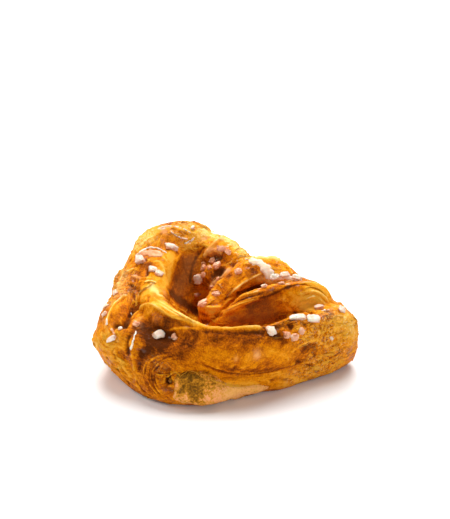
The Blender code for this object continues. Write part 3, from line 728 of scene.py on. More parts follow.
class Surface:
    """One or more meshes that rays and nearest-point searches are asked about, in metres."""

    def __init__(self, *meshes):
        points, faces = [], []
        for mesh in meshes:
            first = len(points)
            points += [v.co for v in mesh.vertices]
            faces += [[first + corner for corner in p.vertices] for p in mesh.polygons]
        self.tree = BVHTree.FromPolygons(points, faces)
        self.turn = CAMERA_TURN.to_matrix()

    def seen_at(self, pixel):
        """The point and normal that the camera sees at a pixel of the photograph, or None."""
        x = (pixel[0] - PHOTO_WIDTH / 2) / FOCAL_PIXELS
        y = (PHOTO_HEIGHT / 2 - pixel[1]) / FOCAL_PIXELS
        way = self.turn @ Vector((x, y, -1.0))
        place, normal, _, _ = self.tree.ray_cast(CAMERA_PLACE, way.normalized())
        return None if place is None else (place, normal)

    def well_hidden(self, point):
        """Whether the bun covers this point, and a few millimetres round it, in the photograph."""
        for x, y in ((0.0, 0.0), (4.0, 0.0), (-4.0, 0.0), (0.0, 5.0)):
            goal = Vector(point) + self.turn @ Vector((x, y, 0.0)) * MM
            way = goal - CAMERA_PLACE
            place, _, _, distance = self.tree.ray_cast(CAMERA_PLACE, way.normalized())
            if place is None or distance > way.length - 1.5 * MM:
                return False
        return True

    def nearest(self, point):
        place, normal, _, _ = self.tree.find_nearest(Vector(point))
        return place, normal


# ------------------------------- strands

def strand_points():
    """Samples of the centre lines: place, way to the side, way along, half the width, and distance run."""
    places, sides, alongs, halves, runs = [], [], [], [], []
    for stations, closed in ((STRIP, True), (LOBE, False), (EAR, False)):
        run = curve_through(stations, closed, STRAND_STEP)
        if closed:
            along = np.roll(run, -1, 0) - np.roll(run, 1, 0)
        else:
            along = np.gradient(run, axis=0)
        along = unit(along[:, :3] * (1.0, 1.0, 0.0))
        places.append(run[:, :3])
        alongs.append(along)
        sides.append(np.stack([along[:, 1], -along[:, 0], np.zeros(len(run))], 1))
        halves.append(run[:, 3])
        steps = np.linalg.norm(np.diff(run[:, :3], axis=0), axis=1)
        runs.append(np.concatenate([[0.0], np.cumsum(steps)]))
    return (np.concatenate(x) for x in (places, sides, alongs, halves, runs))


def strand_frame(points):
    """For points: millimetres around the nearest strand, the way along it, and millimetres along it."""
    places, sides, alongs, halves, runs = strand_points()
    tree = KDTree(len(places))
    for i, place in enumerate(places):
        tree.insert(Vector(place), i)
    tree.balance()
    scaled = points / MM
    picked = np.array([tree.find(point)[1] for point in scaled])
    away = scaled - places[picked]
    side = np.einsum("ij,ij->i", away, sides[picked])
    around = np.arctan2(away[:, 2], side) * halves[picked] * 1.3
    return around, alongs[picked], runs[picked]


def layer_relief(scaled, around):
    """The edges of the thin layers, which run along the strand, as heights in millimetres."""
    warp = 2.2 * noise(scaled, 17.0, 11) + 0.8 * noise(scaled, 5.0, 12)
    steps = (around + warp) / LAYER_PITCH
    rank = np.floor(steps)
    share = steps - rank
    tall = 0.55 + 0.45 * noise(np.stack([rank * 7.3, scaled[:, 0] / 9, scaled[:, 1] / 9], 1), 1.0, 13, 1)
    step = np.where(share < 0.75, share / 0.75, (1.0 - share) / 0.25)
    where = smoothstep(-0.45, 0.5, noise(scaled, 14.0, 14))
    return step * tall * where


# ------------------------------- marks

def mark_run(surface, path):
    """The places on the surface, and their normals, along a line drawn in the photograph or in space.

    A sample that slips past an edge onto what lies far behind it is left out, and the line is then smoothed.
    """
    places, normals = [], []
    in_space = len(path[0]) == 3
    for spot in curve_through(path, False, LINE_STEP):
        found = surface.nearest(spot * MM) if in_space else surface.seen_at(spot)
        if found:
            places.append(found[0])
            normals.append(found[1])
    places = np.array(places, float).reshape(-1, 3)
    normals = np.array(normals, float).reshape(-1, 3)
    if len(places) < 5:
        return places, normals
    if not in_space:
        depth = np.linalg.norm(places - np.array(CAMERA_PLACE), axis=1)
        spans = [depth[max(i - SLIP_SPAN, 0):i + SLIP_SPAN + 1] for i in range(len(depth))]
        usual = [np.quantile(span, 0.35) for span in spans]
        kept = depth < np.array(usual) + SLIP * MM
        places, normals = places[kept], normals[kept]
    for _ in range(3):
        places[1:-1] = (places[:-2] + 2 * places[1:-1] + places[2:]) / 4
        normals[1:-1] = (normals[:-2] + 2 * normals[1:-1] + normals[2:]) / 4
    return places, unit(normals)


def near_run(places, normals, run, run_normals, reach):
    """(indices of the points near a run, distance, share along the run, which side) in metres."""
    low = run.min(0) - reach
    high = run.max(0) + reach
    index = np.flatnonzero(((places > low) & (places < high)).all(1))
    if not len(index):
        return index, None, None, None
    gap = places[index][:, None, :] - run[None, :, :]
    distance = np.linalg.norm(gap, axis=2)
    pick = distance.argmin(1)
    nearest = distance[np.arange(len(index)), pick]
    facing = np.einsum("ij,ij->i", normals[index], run_normals[pick]) > 0.05
    keep = (nearest < reach) & facing
    index, pick, nearest, gap = index[keep], pick[keep], nearest[keep], gap[keep]
    tangents = unit(np.gradient(run, axis=0)) if len(run) > 1 else np.tile((1.0, 0.0, 0.0), (1, 1))
    across = np.cross(run_normals[pick], tangents[pick])
    side = np.einsum("ij,ij->i", across, gap[np.arange(len(index)), pick])
    return index, nearest, pick / max(len(run) - 1, 1), side


def mark_profile(mark, distance, share, side, length):
    """How strongly a mark acts at each distance: relief from -1 to 1, and colour from 0 to 1."""
    half = mark.half_width * MM
    fade = min(max(1.8 * half / max(length, 1e-6), 0.12), 0.5)
    ends = smoothstep(-0.25 * fade, fade, share) * smoothstep(-0.25 * fade, fade, 1.0 - share)
    bell = np.exp(-((distance / half) ** 2))
    if mark.shape == "lip":
        relief = np.where(side > 0, bell, np.exp(-((distance / (0.4 * half)) ** 2)))
        relief = relief - 0.7 * np.exp(-(((side + 1.3 * half) / (0.8 * half)) ** 2)) * (side < 0)
        bell = np.where(side > 0, bell, np.exp(-((distance / (0.5 * half)) ** 2)))
    elif mark.shape in ("crease", "press"):
        relief = -bell
    else:
        relief = bell
    return relief * ends, bell * ends


def layer_marks():
    """The layers' edges at the roll's open end: uneven creases and ridges, from the outermost inwards."""
    rng = np.random.default_rng(ROLL_SEED)
    outer, inner = np.array(ROLL_OUTER, float), np.array(ROLL_INNER, float)
    marks = []
    for k in range(ROLL_LAYERS):
        share = (k + rng.uniform(-0.3, 0.3)) / ROLL_LAYERS
        wander = rng.normal(size=outer.shape) * 0.45
        low = outer + (inner - outer) * share + wander
        high = outer + (inner - outer) * (share + 0.45 / ROLL_LAYERS) + wander
        first = rng.integers(0, 3)
        last = len(low) - rng.integers(0, 2)
        depth = rng.uniform(0.15, 0.42)
        # Each crease is marked darker the deeper it is, and its ridge paler: painted shade and painted
        # highlight.
        marks.append(crease(rng.uniform(0.4, 0.65), depth, low[first:last], bake=0.4 * depth + 0.06))
        marks.append(ridge(rng.uniform(0.35, 0.6), 0.6 * depth, high[first:last], bake=-0.5 * depth))
    return marks


def outline_shift(surface, places, normals):
    """How far each vertex moves along its normal, in millimetres, to match the photograph's outline."""
    middle = np.array(OUTLINE_MIDDLE, float)
    upright = CAMERA_TURN.to_matrix().transposed()
    spots, facings, gaps = [], [], []
    for pixel in curve_through(OUTLINE, True, 2.0):
        way = pixel - middle
        inside, outside = 0.6, 1.3
        for _ in range(12):
            share = (inside + outside) / 2
            if surface.seen_at(middle + way * share):
                inside = share
            else:
                outside = share
        place, normal = surface.seen_at(middle + way * inside)
        turned = upright @ normal
        slant = (turned.x * way[0] - turned.y * way[1]) / np.linalg.norm(way)
        spots.append(place)
        facings.append(normal)
        gaps.append((1.0 - inside) * np.linalg.norm(way) * PIXEL * max(slant, 0.4))
    gaps = np.clip(gaps, -OUTLINE_LIMIT, OUTLINE_LIMIT)
    gaps = (np.roll(gaps, 1) + 2 * gaps + np.roll(gaps, -1)) / 4
    facings = np.array(facings)
    tree = KDTree(len(spots))
    for i, spot in enumerate(spots):
        tree.insert(spot, i)
    tree.balance()
    found = [tree.find(place) for place in places]
    picked = np.array([spot[1] for spot in found])
    distance = np.array([spot[2] for spot in found])
    facing = smoothstep(-0.2, 0.3, np.einsum("ij,ij->i", normals, facings[picked]))
    return gaps[picked] * facing * np.exp(-((distance / (OUTLINE_REACH * MM)) ** 2))


def apply_marks(marks, surface, places, normals):
    """Heights in millimetres, and the tones, that the marks give each vertex."""
    height = np.zeros(len(places))
    tones = {name: np.zeros(len(places)) for name in TONES}
    for mark in marks:
        run, run_normals = mark_run(surface, mark.path)
        if len(run) < 1:
            continue
        reach = 2.6 * mark.half_width * MM
        index, distance, share, side = near_run(places, normals, run, run_normals, reach)
        if not len(index):
            continue
        length = np.linalg.norm(run[-1] - run[0])
        uneven = 1.0 + 0.3 * noise(places[index] / MM, 2.6 + 0.5 * mark.half_width, 81)
        relief, colour = mark_profile(mark, distance * uneven, share, side, length)
        height[index] += relief * mark.height * (1.0 + 0.35 * noise(places[index] / MM, 5.0, 82))
        for name, amount in mark.tone.items():
            tones[name][index] += colour * amount
    return height, tones


# ------------------------------- crust

def wrinkles(scaled, around, distance):
    """Thin, crisp ridges from 0 to 1 that wander along the strand."""
    flow = np.stack([around, 0.35 * distance, 0.2 * scaled[:, 2]], 1)
    flow += 1.4 * np.stack([noise(scaled, 5.0, 27), noise(scaled, 6.0, 28), np.zeros(len(scaled))], 1)
    long_ones = np.exp(-((noise(flow, 2.6, 25) / 0.13) ** 2))
    short_ones = np.exp(-((noise(scaled, 2.9, 26) / 0.11) ** 2))
    return np.maximum(long_ones, 0.7 * short_ones) * smoothstep(-0.5, 0.3, noise(scaled, 8.0, 29))


def random_relief(scaled, around, distance, calm, rough):
    """Layers, folds, blisters, wrinkles and crumbs in millimetres, low where the crust is calm."""
    layers = layer_relief(scaled, around)
    folds = noise(scaled * (0.5, 0.5, 1.0), 7.0, 21)
    blisters = np.maximum(noise(scaled, 3.4, 31), 0.0) ** 1.5
    crumbs = np.abs(noise(scaled, 1.3, 35)) - 0.3
    fine = wrinkles(scaled, around, distance)
    loose = 1.0 - 0.85 * calm
    above = smoothstep(0.3, 4.0, scaled[:, 2])
    relief = (LAYER_HEIGHT * layers + FOLD_HEIGHT * folds + BLISTER_HEIGHT * blisters
              + WRINKLE_HEIGHT * fine - RELIEF_DROP)
    return above * (loose * relief + rough * CRUMB_HEIGHT * crumbs)


def make_crust(material):
    crust = fine_copy(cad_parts["dough"], "crust", CRUST_VOXEL, CRUST_PASSES)
    mesh = crust.data
    surface = Surface(mesh)
    places = points_of(mesh)
    normals = normals_of(mesh)
    scaled = places / MM
    around, _, distance = strand_frame(places)
    average = neighbour_average(mesh)
    height, tones = apply_marks(MARKS + layer_marks(), surface, places, normals)
    calm = average(np.clip(tones["calm"], 0.0, 1.0), 24)
    crumbly = smoothstep(0.1, 0.7, noise(scaled, 13.0, 36)) * (1.0 - calm)
    rough = average(np.clip(tones["rough"] + 0.6 * crumbly, 0.0, 1.0), 12)
    height = height + random_relief(scaled, around, distance, calm, rough)
    shift = outline_shift(surface, places, normals)
    moved = places + normals * (height + shift)[:, None] * MM
    moved[:, 2] = np.maximum(moved[:, 2], 0.0)
    move_points(mesh, moved)
    mesh.shade_smooth()

    # The crest is the height above the neighbourhood's mean. Crests get pale here as painted highlight, and
    # the material paints shade into what lies below the mean.
    crest = height - average(height, 12)
    # Where neither painted shade nor browning lies; the random pale patches and most crest highlight go
    # there.
    clear_of_shade_and_browning = 1.0 - np.clip(tones["dusk"], 0.0, 1.0)
    swirled = scaled + 3.0 * np.stack([noise(scaled, 5.0, seed) for seed in (91, 92, 93)], 1)
    clear_of_shade_and_browning *= np.clip(1.0 - 1.6 * tones["bake"], 0.0, 1.0)
    tones["pale"] += 0.3 * smoothstep(0.1, 1.0, noise(swirled, 6.0, 37, 3)) * (1.0 - calm) * clear_of_shade_and_browning
    tones["pale"] += 0.6 * smoothstep(0.1, 0.34, crest) * (0.3 + 0.7 * clear_of_shade_and_browning)
    tones["bake"] += 0.25 * smoothstep(2.5, 0.3, scaled[:, 2])
    store(mesh, "crest", crest)
    for name in (*CRUST_TONES, "gloss"):
        store(mesh, name, tones[name])
    store(mesh, "calm", calm)
    store(mesh, "rough", rough)
    store(mesh, "grain", np.stack([around, distance * 0.16, np.zeros(len(around))], 1))
    mesh.materials.append(material)
    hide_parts("dough")
    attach(crust, "root")
    return crust


# ------------------------------- heaps of small shapes

class Heap:
    """Closed shapes that are collected and become one mesh."""

    def __init__(self):
        self.points = []
        self.faces = []
        self.values = {name: [] for name in ("crest", *CRUST_TONES)}
        self.count = 0

    def add(self, points, faces, **values):
        self.points.append(points)
        self.faces.append(np.asarray(faces) + self.count)
        for name, kept in self.values.items():
            kept.append(np.broadcast_to(values.get(name, 0.0), len(points)))
        self.count += len(points)

    def build(self, name, material):
        points = np.concatenate(self.points)
        mesh = bpy.data.meshes.new(name)
        mesh.from_pydata(points.tolist(), [], [tuple(f) for part in self.faces for f in part.tolist()])
        mesh.shade_smooth()
        for key, kept in self.values.items():
            store(mesh, key, np.concatenate(kept))
        store(mesh, "grain", points / MM)
        mesh.materials.append(material)
        obj = new_object(name, mesh)
        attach(obj, "root")
        return obj


def sheet_faces(rows, columns):
    """The faces of a closed sheet: a top grid of points, a bottom grid, and the rim between them."""
    index = np.arange(rows * columns).reshape(rows, columns)
    low = rows * columns
    a, b, c, d = index[:-1, :-1], index[1:, :-1], index[1:, 1:], index[:-1, 1:]
    top = np.stack([a, b, c, d], -1).reshape(-1, 4)
    bottom = top[:, ::-1] + low
    rim = np.concatenate([index[0, :], index[1:, -1], index[-1, -2::-1], index[-2:0:-1, 0]])
    following = np.roll(rim, -1)
    sides = np.stack([rim, following, following + low, rim + low], -1)
    return np.concatenate([top, bottom, sides])


def sheet_points(places, normals, thickness):
    """Top and bottom points of a sheet whose middle is a grid of places. It thins towards its rim."""
    rows, columns = places.shape[:2]
    i = np.minimum(np.arange(rows), np.arange(rows)[::-1])[:, None]
    j = np.minimum(np.arange(columns), np.arange(columns)[::-1])[None, :]
    inner = np.clip(np.minimum(i, j) * 0.5 + 0.35, 0.0, 1.0)[..., None]
    half = normals * thickness / 2 * inner
    return np.concatenate([(places + half).reshape(-1, 3), (places - half).reshape(-1, 3)])


def add_sheet(heap, surface, edge, inwards, width, lift, thickness, columns, tone):
    """A thin leaf: its free edge, a run of points, stands off the crust, and its other edge is sunk."""
    rows = len(edge)
    b = np.linspace(0.0, 1.0, columns)
    middle = np.empty((rows, columns, 3))
    facing = np.empty((rows, columns, 3))
    sunk = LEAF_SUNK * MM
    for i in range(rows):
        for j in range(columns):
            found, found_normal = surface.nearest(edge[i] + inwards[i] * width[i] * (1.0 - b[j]))
            rise = -sunk + (lift[i] + sunk) * b[j] ** 1.6
            middle[i, j] = np.array(found) + np.array(found_normal) * rise
            facing[i, j] = found_normal
    points = sheet_points(middle, facing, thickness)
    # The leaf gets paler towards its free edge, and counts there as a crest: painted highlight on the edge.
    shade = np.tile(np.broadcast_to(b[None, :] ** 2, (rows, columns)).ravel(), 2)
    bake = tone.get("bake", 0.0) - 0.2 * shade
    pale = tone.get("pale", 0.0) * (0.4 + 0.6 * shade)
    heap.add(points, sheet_faces(rows, columns), crest=0.35 * shade, bake=bake, pale=pale,
             peach=tone.get("peach", 0.0), dusk=tone.get("dusk", 0.0))


def spread_points(mesh, rng, count):
    """Points spread evenly over a mesh by area, with their normals, and a corner of the face of each."""
    mesh.calc_loop_triangles()
    corners = np.empty(len(mesh.loop_triangles) * 3, np.int32)
    mesh.loop_triangles.foreach_get("vertices", corners)
    corners = corners.reshape(-1, 3)
    points = points_of(mesh)
    a, b, c = (points[corners[:, k]] for k in range(3))
    cross = np.cross(b - a, c - a)
    area = np.linalg.norm(cross, axis=1)
    picked = rng.choice(len(area), count, p=area / area.sum())
    u, v = rng.random(count), rng.random(count)
    turned = u + v > 1.0
    u[turned], v[turned] = 1.0 - u[turned], 1.0 - v[turned]
    places = a[picked] + (b - a)[picked] * u[:, None] + (c - a)[picked] * v[:, None]
    return places, unit(cross[picked]), corners[picked, 0]


def add_flake(heap, surface, place, normal, along, tone, rng):
    """A loose leaf of random size that lies along the strand, in about the colour of the crust below it."""
    along = unit(along - normal * (along @ normal))
    across = np.cross(normal, along)
    length = rng.uniform(*FLAKE_LENGTHS) * MM
    rows = 5 if length < 4 * MM else 8
    a = np.linspace(-1.0, 1.0, rows)
    ragged = np.clip(1.0 + 0.45 * rng.normal(size=rows), 0.25, 1.9)
    outline = np.clip(1.0 - np.abs(a) ** 2.2, 0.05, 1.0) ** 0.7 * ragged
    bend = across * rng.uniform(-0.12, 0.12) * length
    edge = place + along * a[:, None] * length / 2 + bend * (a[:, None] ** 2)
    width = rng.uniform(*FLAKE_WIDTHS) * MM * np.clip(outline, 0.15, 2.0)
    lift = rng.uniform(*FLAKE_LIFTS) * MM * outline
    tone["bake"] += rng.normal() * 0.12
    tone["pale"] += rng.uniform(0.0, 0.3)
    inwards = np.broadcast_to(across, (rows, 3))
    thickness = rng.uniform(*FLAKE_THICKNESSES) * MM
    add_sheet(heap, surface, edge, inwards, width, lift, thickness, 4, tone)


def add_leaf(heap, surface, leaf, rng):
    """A leaf of crust along a line of the photograph."""
    run, normals = mark_run(surface, leaf.path)
    if len(run) < 6:
        return
    run, normals = run[::2], normals[::2]
    tangents = unit(np.gradient(run, axis=0))
    inwards = np.cross(normals, tangents)
    ends = np.clip(1.0 - np.abs(np.linspace(-1.0, 1.0, len(run))) ** 3, 0.1, 1.0)
    ragged = np.clip(1.0 + 0.25 * rng.normal(size=len(run)), 0.4, 1.6)
    width = leaf.width * MM * ends * ragged
    lift = leaf.lift * MM * ends * ragged
    add_sheet(heap, surface, run, inwards, width, lift, LEAF_THICKNESS * MM, 4, leaf.tone)


def make_flakes(crust, surface, whole, material):
    """The leaves that the photograph shows, and small loose ones where the crust isn't calm."""
    rng = np.random.default_rng(FLAKE_SEED)
    heap = Heap()
    for leaf in LEAVES:
        add_leaf(heap, whole, leaf, rng)
    places, normals, corner = spread_points(crust.data, rng, FLAKE_TRIES)
    _, along, _ = strand_frame(places)
    scaled = places / MM
    below = {name: read_value(crust.data, name)[corner] for name in CRUST_TONES}
    wanted = 0.15 + 0.6 * noise(scaled, 11.0, 51)
    for centre, reach, extra in FLAKY_PLACES:
        away = np.linalg.norm(scaled - np.array(centre), axis=1)
        wanted += extra * np.exp(-((away / reach) ** 2))
    wanted += 0.3 * read_value(crust.data, "rough")[corner]
    wanted *= 1.0 - np.minimum(1.6 * read_value(crust.data, "calm")[corner], 1.0)
    wanted *= scaled[:, 2] > 1.2
    for i in np.flatnonzero(wanted > rng.random(len(places))):
        way = along[i] * (1.0 if rng.random() < 0.5 else -1.0)
        tone = {name: values[i] for name, values in below.items()}
        add_flake(heap, surface, places[i], normals[i], unit(way + rng.normal(size=3) * 0.18), tone, rng)
    return heap.build("crust_flakes", material)


# ------------------------------- sugar

def ball(levels):
    """An icosahedron that is divided a number of times, on the unit sphere."""
    made = bpy.data.meshes.new("ball")
    bm = bmesh.new()
    bmesh.ops.create_icosphere(bm, subdivisions=levels, radius=1.0)
    bm.to_mesh(made)
    bm.free()
    points = points_of(made)
    faces = np.array([p.vertices[:] for p in made.polygons])
    bpy.data.meshes.remove(made)
    return points, faces


def turned_to(normal, rng):
    """A turn that stands a grain on its surface, with a random heading."""
    upright = Vector(normal).to_track_quat("Z", "Y").to_matrix()
    heading = Matrix.Rotation(rng.uniform(0.0, 2 * math.pi), 3, "Z")
    return np.array(upright @ heading)


def add_grain(heap, sphere, place, normal, size, stain, rng, heading=None):
    """One lump of pearl sugar: an uneven block, sunk a little into what it lies on, with a peach foot
    that is partly a stain and partly painted shade under it.
    """
    points, faces = sphere
    block = np.sign(points) * np.abs(points) ** 0.7
    block *= 1.0 + (0.2 + 0.15 * stain) * noise(points + rng.uniform(-50, 50, 3), 0.7, 61, 2)[:, None]
    block *= 1.0 + 0.1 * noise(points + rng.uniform(-50, 50, 3), 0.22, 62, 2)[:, None]
    block = block * np.array(size) / 2
    if heading is None:
        turn = turned_to(normal, rng)
    else:
        along = unit(heading - normal * (heading @ normal))
        turn = np.stack([along, np.cross(normal, along), normal], 1)
    moved = block @ turn.T + place + normal * size[2] * 0.2
    level = points[:, 2] + 0.4 * noise(points + rng.uniform(-50, 50, 3), 0.6, 63, 1)
    foot = 1.0 - smoothstep(-0.25, 0.45, level)
    heap.add(moved, faces, peach=np.clip(stain + 0.75 * foot, 0.0, 1.0))


def heading_at(degrees):
    """The way that looks turned by this much in the photograph, anticlockwise from the right."""
    angle = math.radians(degrees)
    return np.array(CAMERA_TURN.to_matrix() @ Vector((math.cos(angle), math.sin(angle), 0.0)))


def make_sugar(crust, surface):
    rng = np.random.default_rng(SUGAR_SEED)
    heap = Heap()
    fine = ball(4)
    coarse = ball(3)
    taken = []
    for x, y, wide, tall, degrees, stain in GRAINS:
        found = surface.seen_at((x, y))
        if not found:
            continue
        place, normal = np.array(found[0]), np.array(found[1])
        size = (wide * PIXEL * MM, tall * PIXEL * MM * 1.05, min(wide, tall) * PIXEL * MM * 0.75)
        add_grain(heap, fine, place, normal, size, stain, rng, heading_at(degrees))
        taken.append(place)
    made = 0
    for place, normal in zip(*spread_points(crust.data, rng, 900)[:2]):
        if normal[2] < 0.35 or place[2] < 8 * MM or made >= HIDDEN_GRAINS:
            continue
        gap = min(np.linalg.norm(place - other) for other in taken)
        if gap < HIDDEN_GAP * MM or not surface.well_hidden(place):
            continue
        wide = rng.uniform(*HIDDEN_WIDTHS) * MM
        size = (wide, wide * rng.uniform(0.6, 0.95), wide * rng.uniform(0.5, 0.8))
        add_grain(heap, coarse, place, normal, size, rng.uniform(0.0, 0.8), rng)
        taken.append(place)
        made += 1
    return heap.build("pearl_sugar", sugar_material())


# ------------------------------- icing

def icing_field(surface, places, normals):
    """Over 0 where icing lies, on the photograph's lines and in a few spots at the back, and its stain."""
    field = np.full(len(places), -1.0)
    stain = np.full(len(places), 0.4)
    for icing in ICING:
        run, run_normals = mark_run(surface, icing.path)
        if len(run) < 1:
            continue
        reach = 2.2 * icing.half_width * MM
        index, distance, _, _ = near_run(places, normals, run, run_normals, reach)
        if not len(index):
            continue
        uneven = 0.3 * noise(places[index] / MM, 1.6, 71) + 0.2 * noise(places[index] / MM, 4.0, 72)
        strength = 1.0 - distance / (icing.half_width * MM) + uneven
        stronger = strength > field[index]
        stain[index[stronger]] = icing.stain
        field[index] = np.maximum(field[index], strength)
    scaled = places / MM
    hidden = 0.9 * noise(scaled, 9.0, 73) + 0.35 * noise(scaled, 2.4, 74) - 1.05
    hidden += 0.5 * (normals[:, 2] > 0.4) - 3.0 * (scaled[:, 1] < 20.0)
    return np.maximum(field, hidden), stain


def quads_of(mesh):
    loops = np.empty(len(mesh.loops), np.int32)
    mesh.loops.foreach_get("vertex_index", loops)
    totals = np.empty(len(mesh.polygons), np.int32)
    mesh.polygons.foreach_get("loop_total", totals)
    starts = np.empty(len(mesh.polygons), np.int32)
    mesh.polygons.foreach_get("loop_start", starts)
    return loops[starts[totals == 4][:, None] + np.arange(4)]


def make_icing(crust, surface):
    """Thin pools and runs of icing, some of them painted glints, that follow the crust, each closed by its
    rim.
    """
    places = points_of(crust.data)
    normals = normals_of(crust.data)
    field, stain = icing_field(surface, places, normals)
    quads = quads_of(crust.data)
    quads = quads[(field[quads] > 0.0).all(1)]
    used, compact = np.unique(quads, return_inverse=True)
    quads = compact.reshape(-1, 4)
    rise = smoothstep(0.0, 0.5, field[used]) * ICING_HEIGHT * MM - ICING_RIM * MM
    top = places[used] + normals[used] * rise[:, None]
    bottom = places[used] - normals[used] * ICING_DEPTH * MM
    edges = np.concatenate([quads[:, [k, (k + 1) % 4]] for k in range(4)])
    count = len(used)
    keys = edges[:, 0].astype(np.int64) * count + edges[:, 1]
    back = edges[:, 1].astype(np.int64) * count + edges[:, 0]
    rim = edges[~np.isin(keys, back)]
    walls = np.stack([rim[:, 1], rim[:, 0], rim[:, 0] + count, rim[:, 1] + count], 1)
    heap = Heap()
    heap.add(np.concatenate([top, bottom]), np.concatenate([quads, quads[:, ::-1] + count, walls]),
             peach=np.tile(stain[used], 2))
    return heap.build("icing", icing_material())


# ------------------------------- cream

def make_cream():
    cream = fine_copy(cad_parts["cream"], "cream_core", CREAM_VOXEL, CREAM_PASSES)
    mesh = cream.data
    surface = Surface(mesh)
    places = points_of(mesh)
    normals = normals_of(mesh)
    height, tones = apply_marks(CREAM_MARKS, surface, places, normals)
    scaled = places / MM
    height += 0.45 + 0.45 * noise(scaled, 4.0, 41, 3)
    moved = places + normals * height[:, None] * MM
    moved[:, 2] = np.maximum(moved[:, 2], 0.02 * MM)
    move_points(mesh, moved)
    mesh.shade_smooth()
    for name in ("bake", "pale", "peach"):
        store(mesh, name, tones[name])
    mesh.materials.append(cream_material())
    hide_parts("cream")
    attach(cream, "root")
    return cream


# ------------------------------- materials

class Look:
    """A material's node tree, built with a few short calls."""

    def __init__(self, name, roughness, **settings):
        self.material = bpy.data.materials.new(name)
        self.material.use_nodes = True
        self.tree = self.material.node_tree
        self.shader = self.tree.nodes["Principled BSDF"]
        self.shader.inputs["Roughness"].default_value = roughness
        for socket, value in settings.items():
            self.shader.inputs[socket.replace("_", " ")].default_value = value

    def node(self, kind, inputs=(), **settings):
        made = self.tree.nodes.new("ShaderNode" + kind)
        for key, value in settings.items():
            setattr(made, key, value)
        for socket, value in dict(inputs).items():
            self.feed(value, made.inputs[socket])
        return made

    def feed(self, value, socket):
        if isinstance(value, bpy.types.NodeSocket):
            self.tree.links.new(value, socket)
        elif socket.type == "RGBA":
            socket.default_value = (*value[:3], 1.0)
        else:
            socket.default_value = value

    def value(self, name):
        return self.node("Attribute", attribute_name=name).outputs["Fac"]

    def vector(self, name):
        return self.node("Attribute", attribute_name=name).outputs["Vector"]

    def place(self):
        """Object coordinates in millimetres."""
        source = self.node("TexCoord").outputs["Object"]
        return self.node("VectorMath", {0: source, "Scale": 1000.0}, operation="SCALE").outputs[0]

    def noise(self, vector, scale, detail=3.0, roughness=0.6, distortion=0.0):
        inputs = {"Vector": vector, "Scale": scale, "Detail": detail, "Roughness": roughness,
                  "Distortion": distortion}
        return self.node("TexNoise", inputs).outputs["Fac"]

    def ranged(self, value, low, high, out_low=0.0, out_high=1.0):
        inputs = {"Value": value, "From Min": low, "From Max": high, "To Min": out_low, "To Max": out_high}
        return self.node("MapRange", inputs, interpolation_type="SMOOTHSTEP").outputs[0]

    def swing(self, value, low, high, reach):
        """The value, spread over this reach below and above 0."""
        return self.ranged(value, low, high, -reach, reach)

    def math(self, operation, a, b=0.0, clamp=False):
        return self.node("Math", {0: a, 1: b}, operation=operation, use_clamp=clamp).outputs[0]

    def times(self, a, b, clamp=False):
        return self.math("MULTIPLY", a, b, clamp)

    def total(self, *values):
        sum_of = values[0]
        for value in values[1:]:
            sum_of = self.math("ADD", sum_of, value)
        return sum_of

    def ramp(self, value, stops):
        made = self.node("ValToRGB", {"Fac": value})
        ramp = made.color_ramp
        ramp.elements[0].position, ramp.elements[0].color = stops[0][0], (*stops[0][1], 1.0)
        ramp.elements[1].position, ramp.elements[1].color = stops[-1][0], (*stops[-1][1], 1.0)
        for position, colour in stops[1:-1]:
            ramp.elements.new(position).color = (*colour, 1.0)
        return made.outputs["Color"]

    def mix(self, share, first, second):
        made = self.node("Mix", data_type="RGBA")
        colours = [s for s in made.inputs if s.type == "RGBA"]
        self.feed(share, made.inputs["Factor"])
        self.feed(first, colours[0])
        self.feed(second, colours[1])
        return [s for s in made.outputs if s.type == "RGBA"][0]

    def finish(self, colour=None, roughness=None, height=None, bump=0.0003, coat=None):
        fed = {"Base Color": colour, "Roughness": roughness, "Coat Weight": coat}
        for name, value in fed.items():
            if value is not None:
                self.feed(value, self.shader.inputs[name])
        if height is not None:
            made = self.node("Bump", {"Height": height, "Distance": bump, "Strength": 1.0})
            self.feed(made.outputs["Normal"], self.shader.inputs["Normal"])
        return self.material


PALE_GOLD = (0.98, 0.47, 0.045)
GOLD = (0.86, 0.285, 0.002)
TAN = (0.58, 0.14, 0.002)
BROWN = (0.30, 0.060, 0.002)
DARK = (0.10, 0.020, 0.002)
# The dark, greyed colour of painted shade, for the hollow and the recesses.
PAINTED_SHADE_COLOUR = (0.25, 0.085, 0.022)
STRAW = (1.0, 0.68, 0.22)
PEACH = (0.90, 0.42, 0.18)
FLECK_AND_GLINT = (1.0, 0.55, 0.15)
CREAM_PALE = (0.98, 0.50, 0.13)

# From little to much: the crust's browning and painted shade, the cream's lightness, which its painted
# shade lowers, and the lights and darks of sugar and icing.
CRUST_RAMP = [(0.0, PALE_GOLD), (0.28, GOLD), (0.55, TAN), (0.78, BROWN), (1.0, DARK)]
PALE_RAMP = [(0.0, GOLD), (0.65, PALE_GOLD), (1.0, STRAW)]
CREAM_RAMP = [
    (0.05, (0.15, 0.060, 0.003)), (0.35, (0.42, 0.16, 0.006)), (0.6, (0.76, 0.30, 0.022)),
    (0.9, (0.94, 0.42, 0.16)),
]
CLEAN_SUGAR = [(0.3, (0.92, 0.66, 0.44)), (0.5, (0.95, 0.84, 0.70)), (0.75, (0.97, 0.93, 0.86))]
STAINED_SUGAR = [(0.3, (0.62, 0.21, 0.07)), (0.55, (0.84, 0.38, 0.19)), (0.8, (0.93, 0.60, 0.40))]
CLEAN_ICING = [(0.35, (0.94, 0.74, 0.52)), (0.6, (0.97, 0.90, 0.80))]
STAINED_ICING = [(0.35, (0.66, 0.24, 0.085)), (0.65, (0.80, 0.38, 0.18))]

# How far up its ramp the crust is baked where nothing else is said.
MIDDLE_BAKE = 0.42


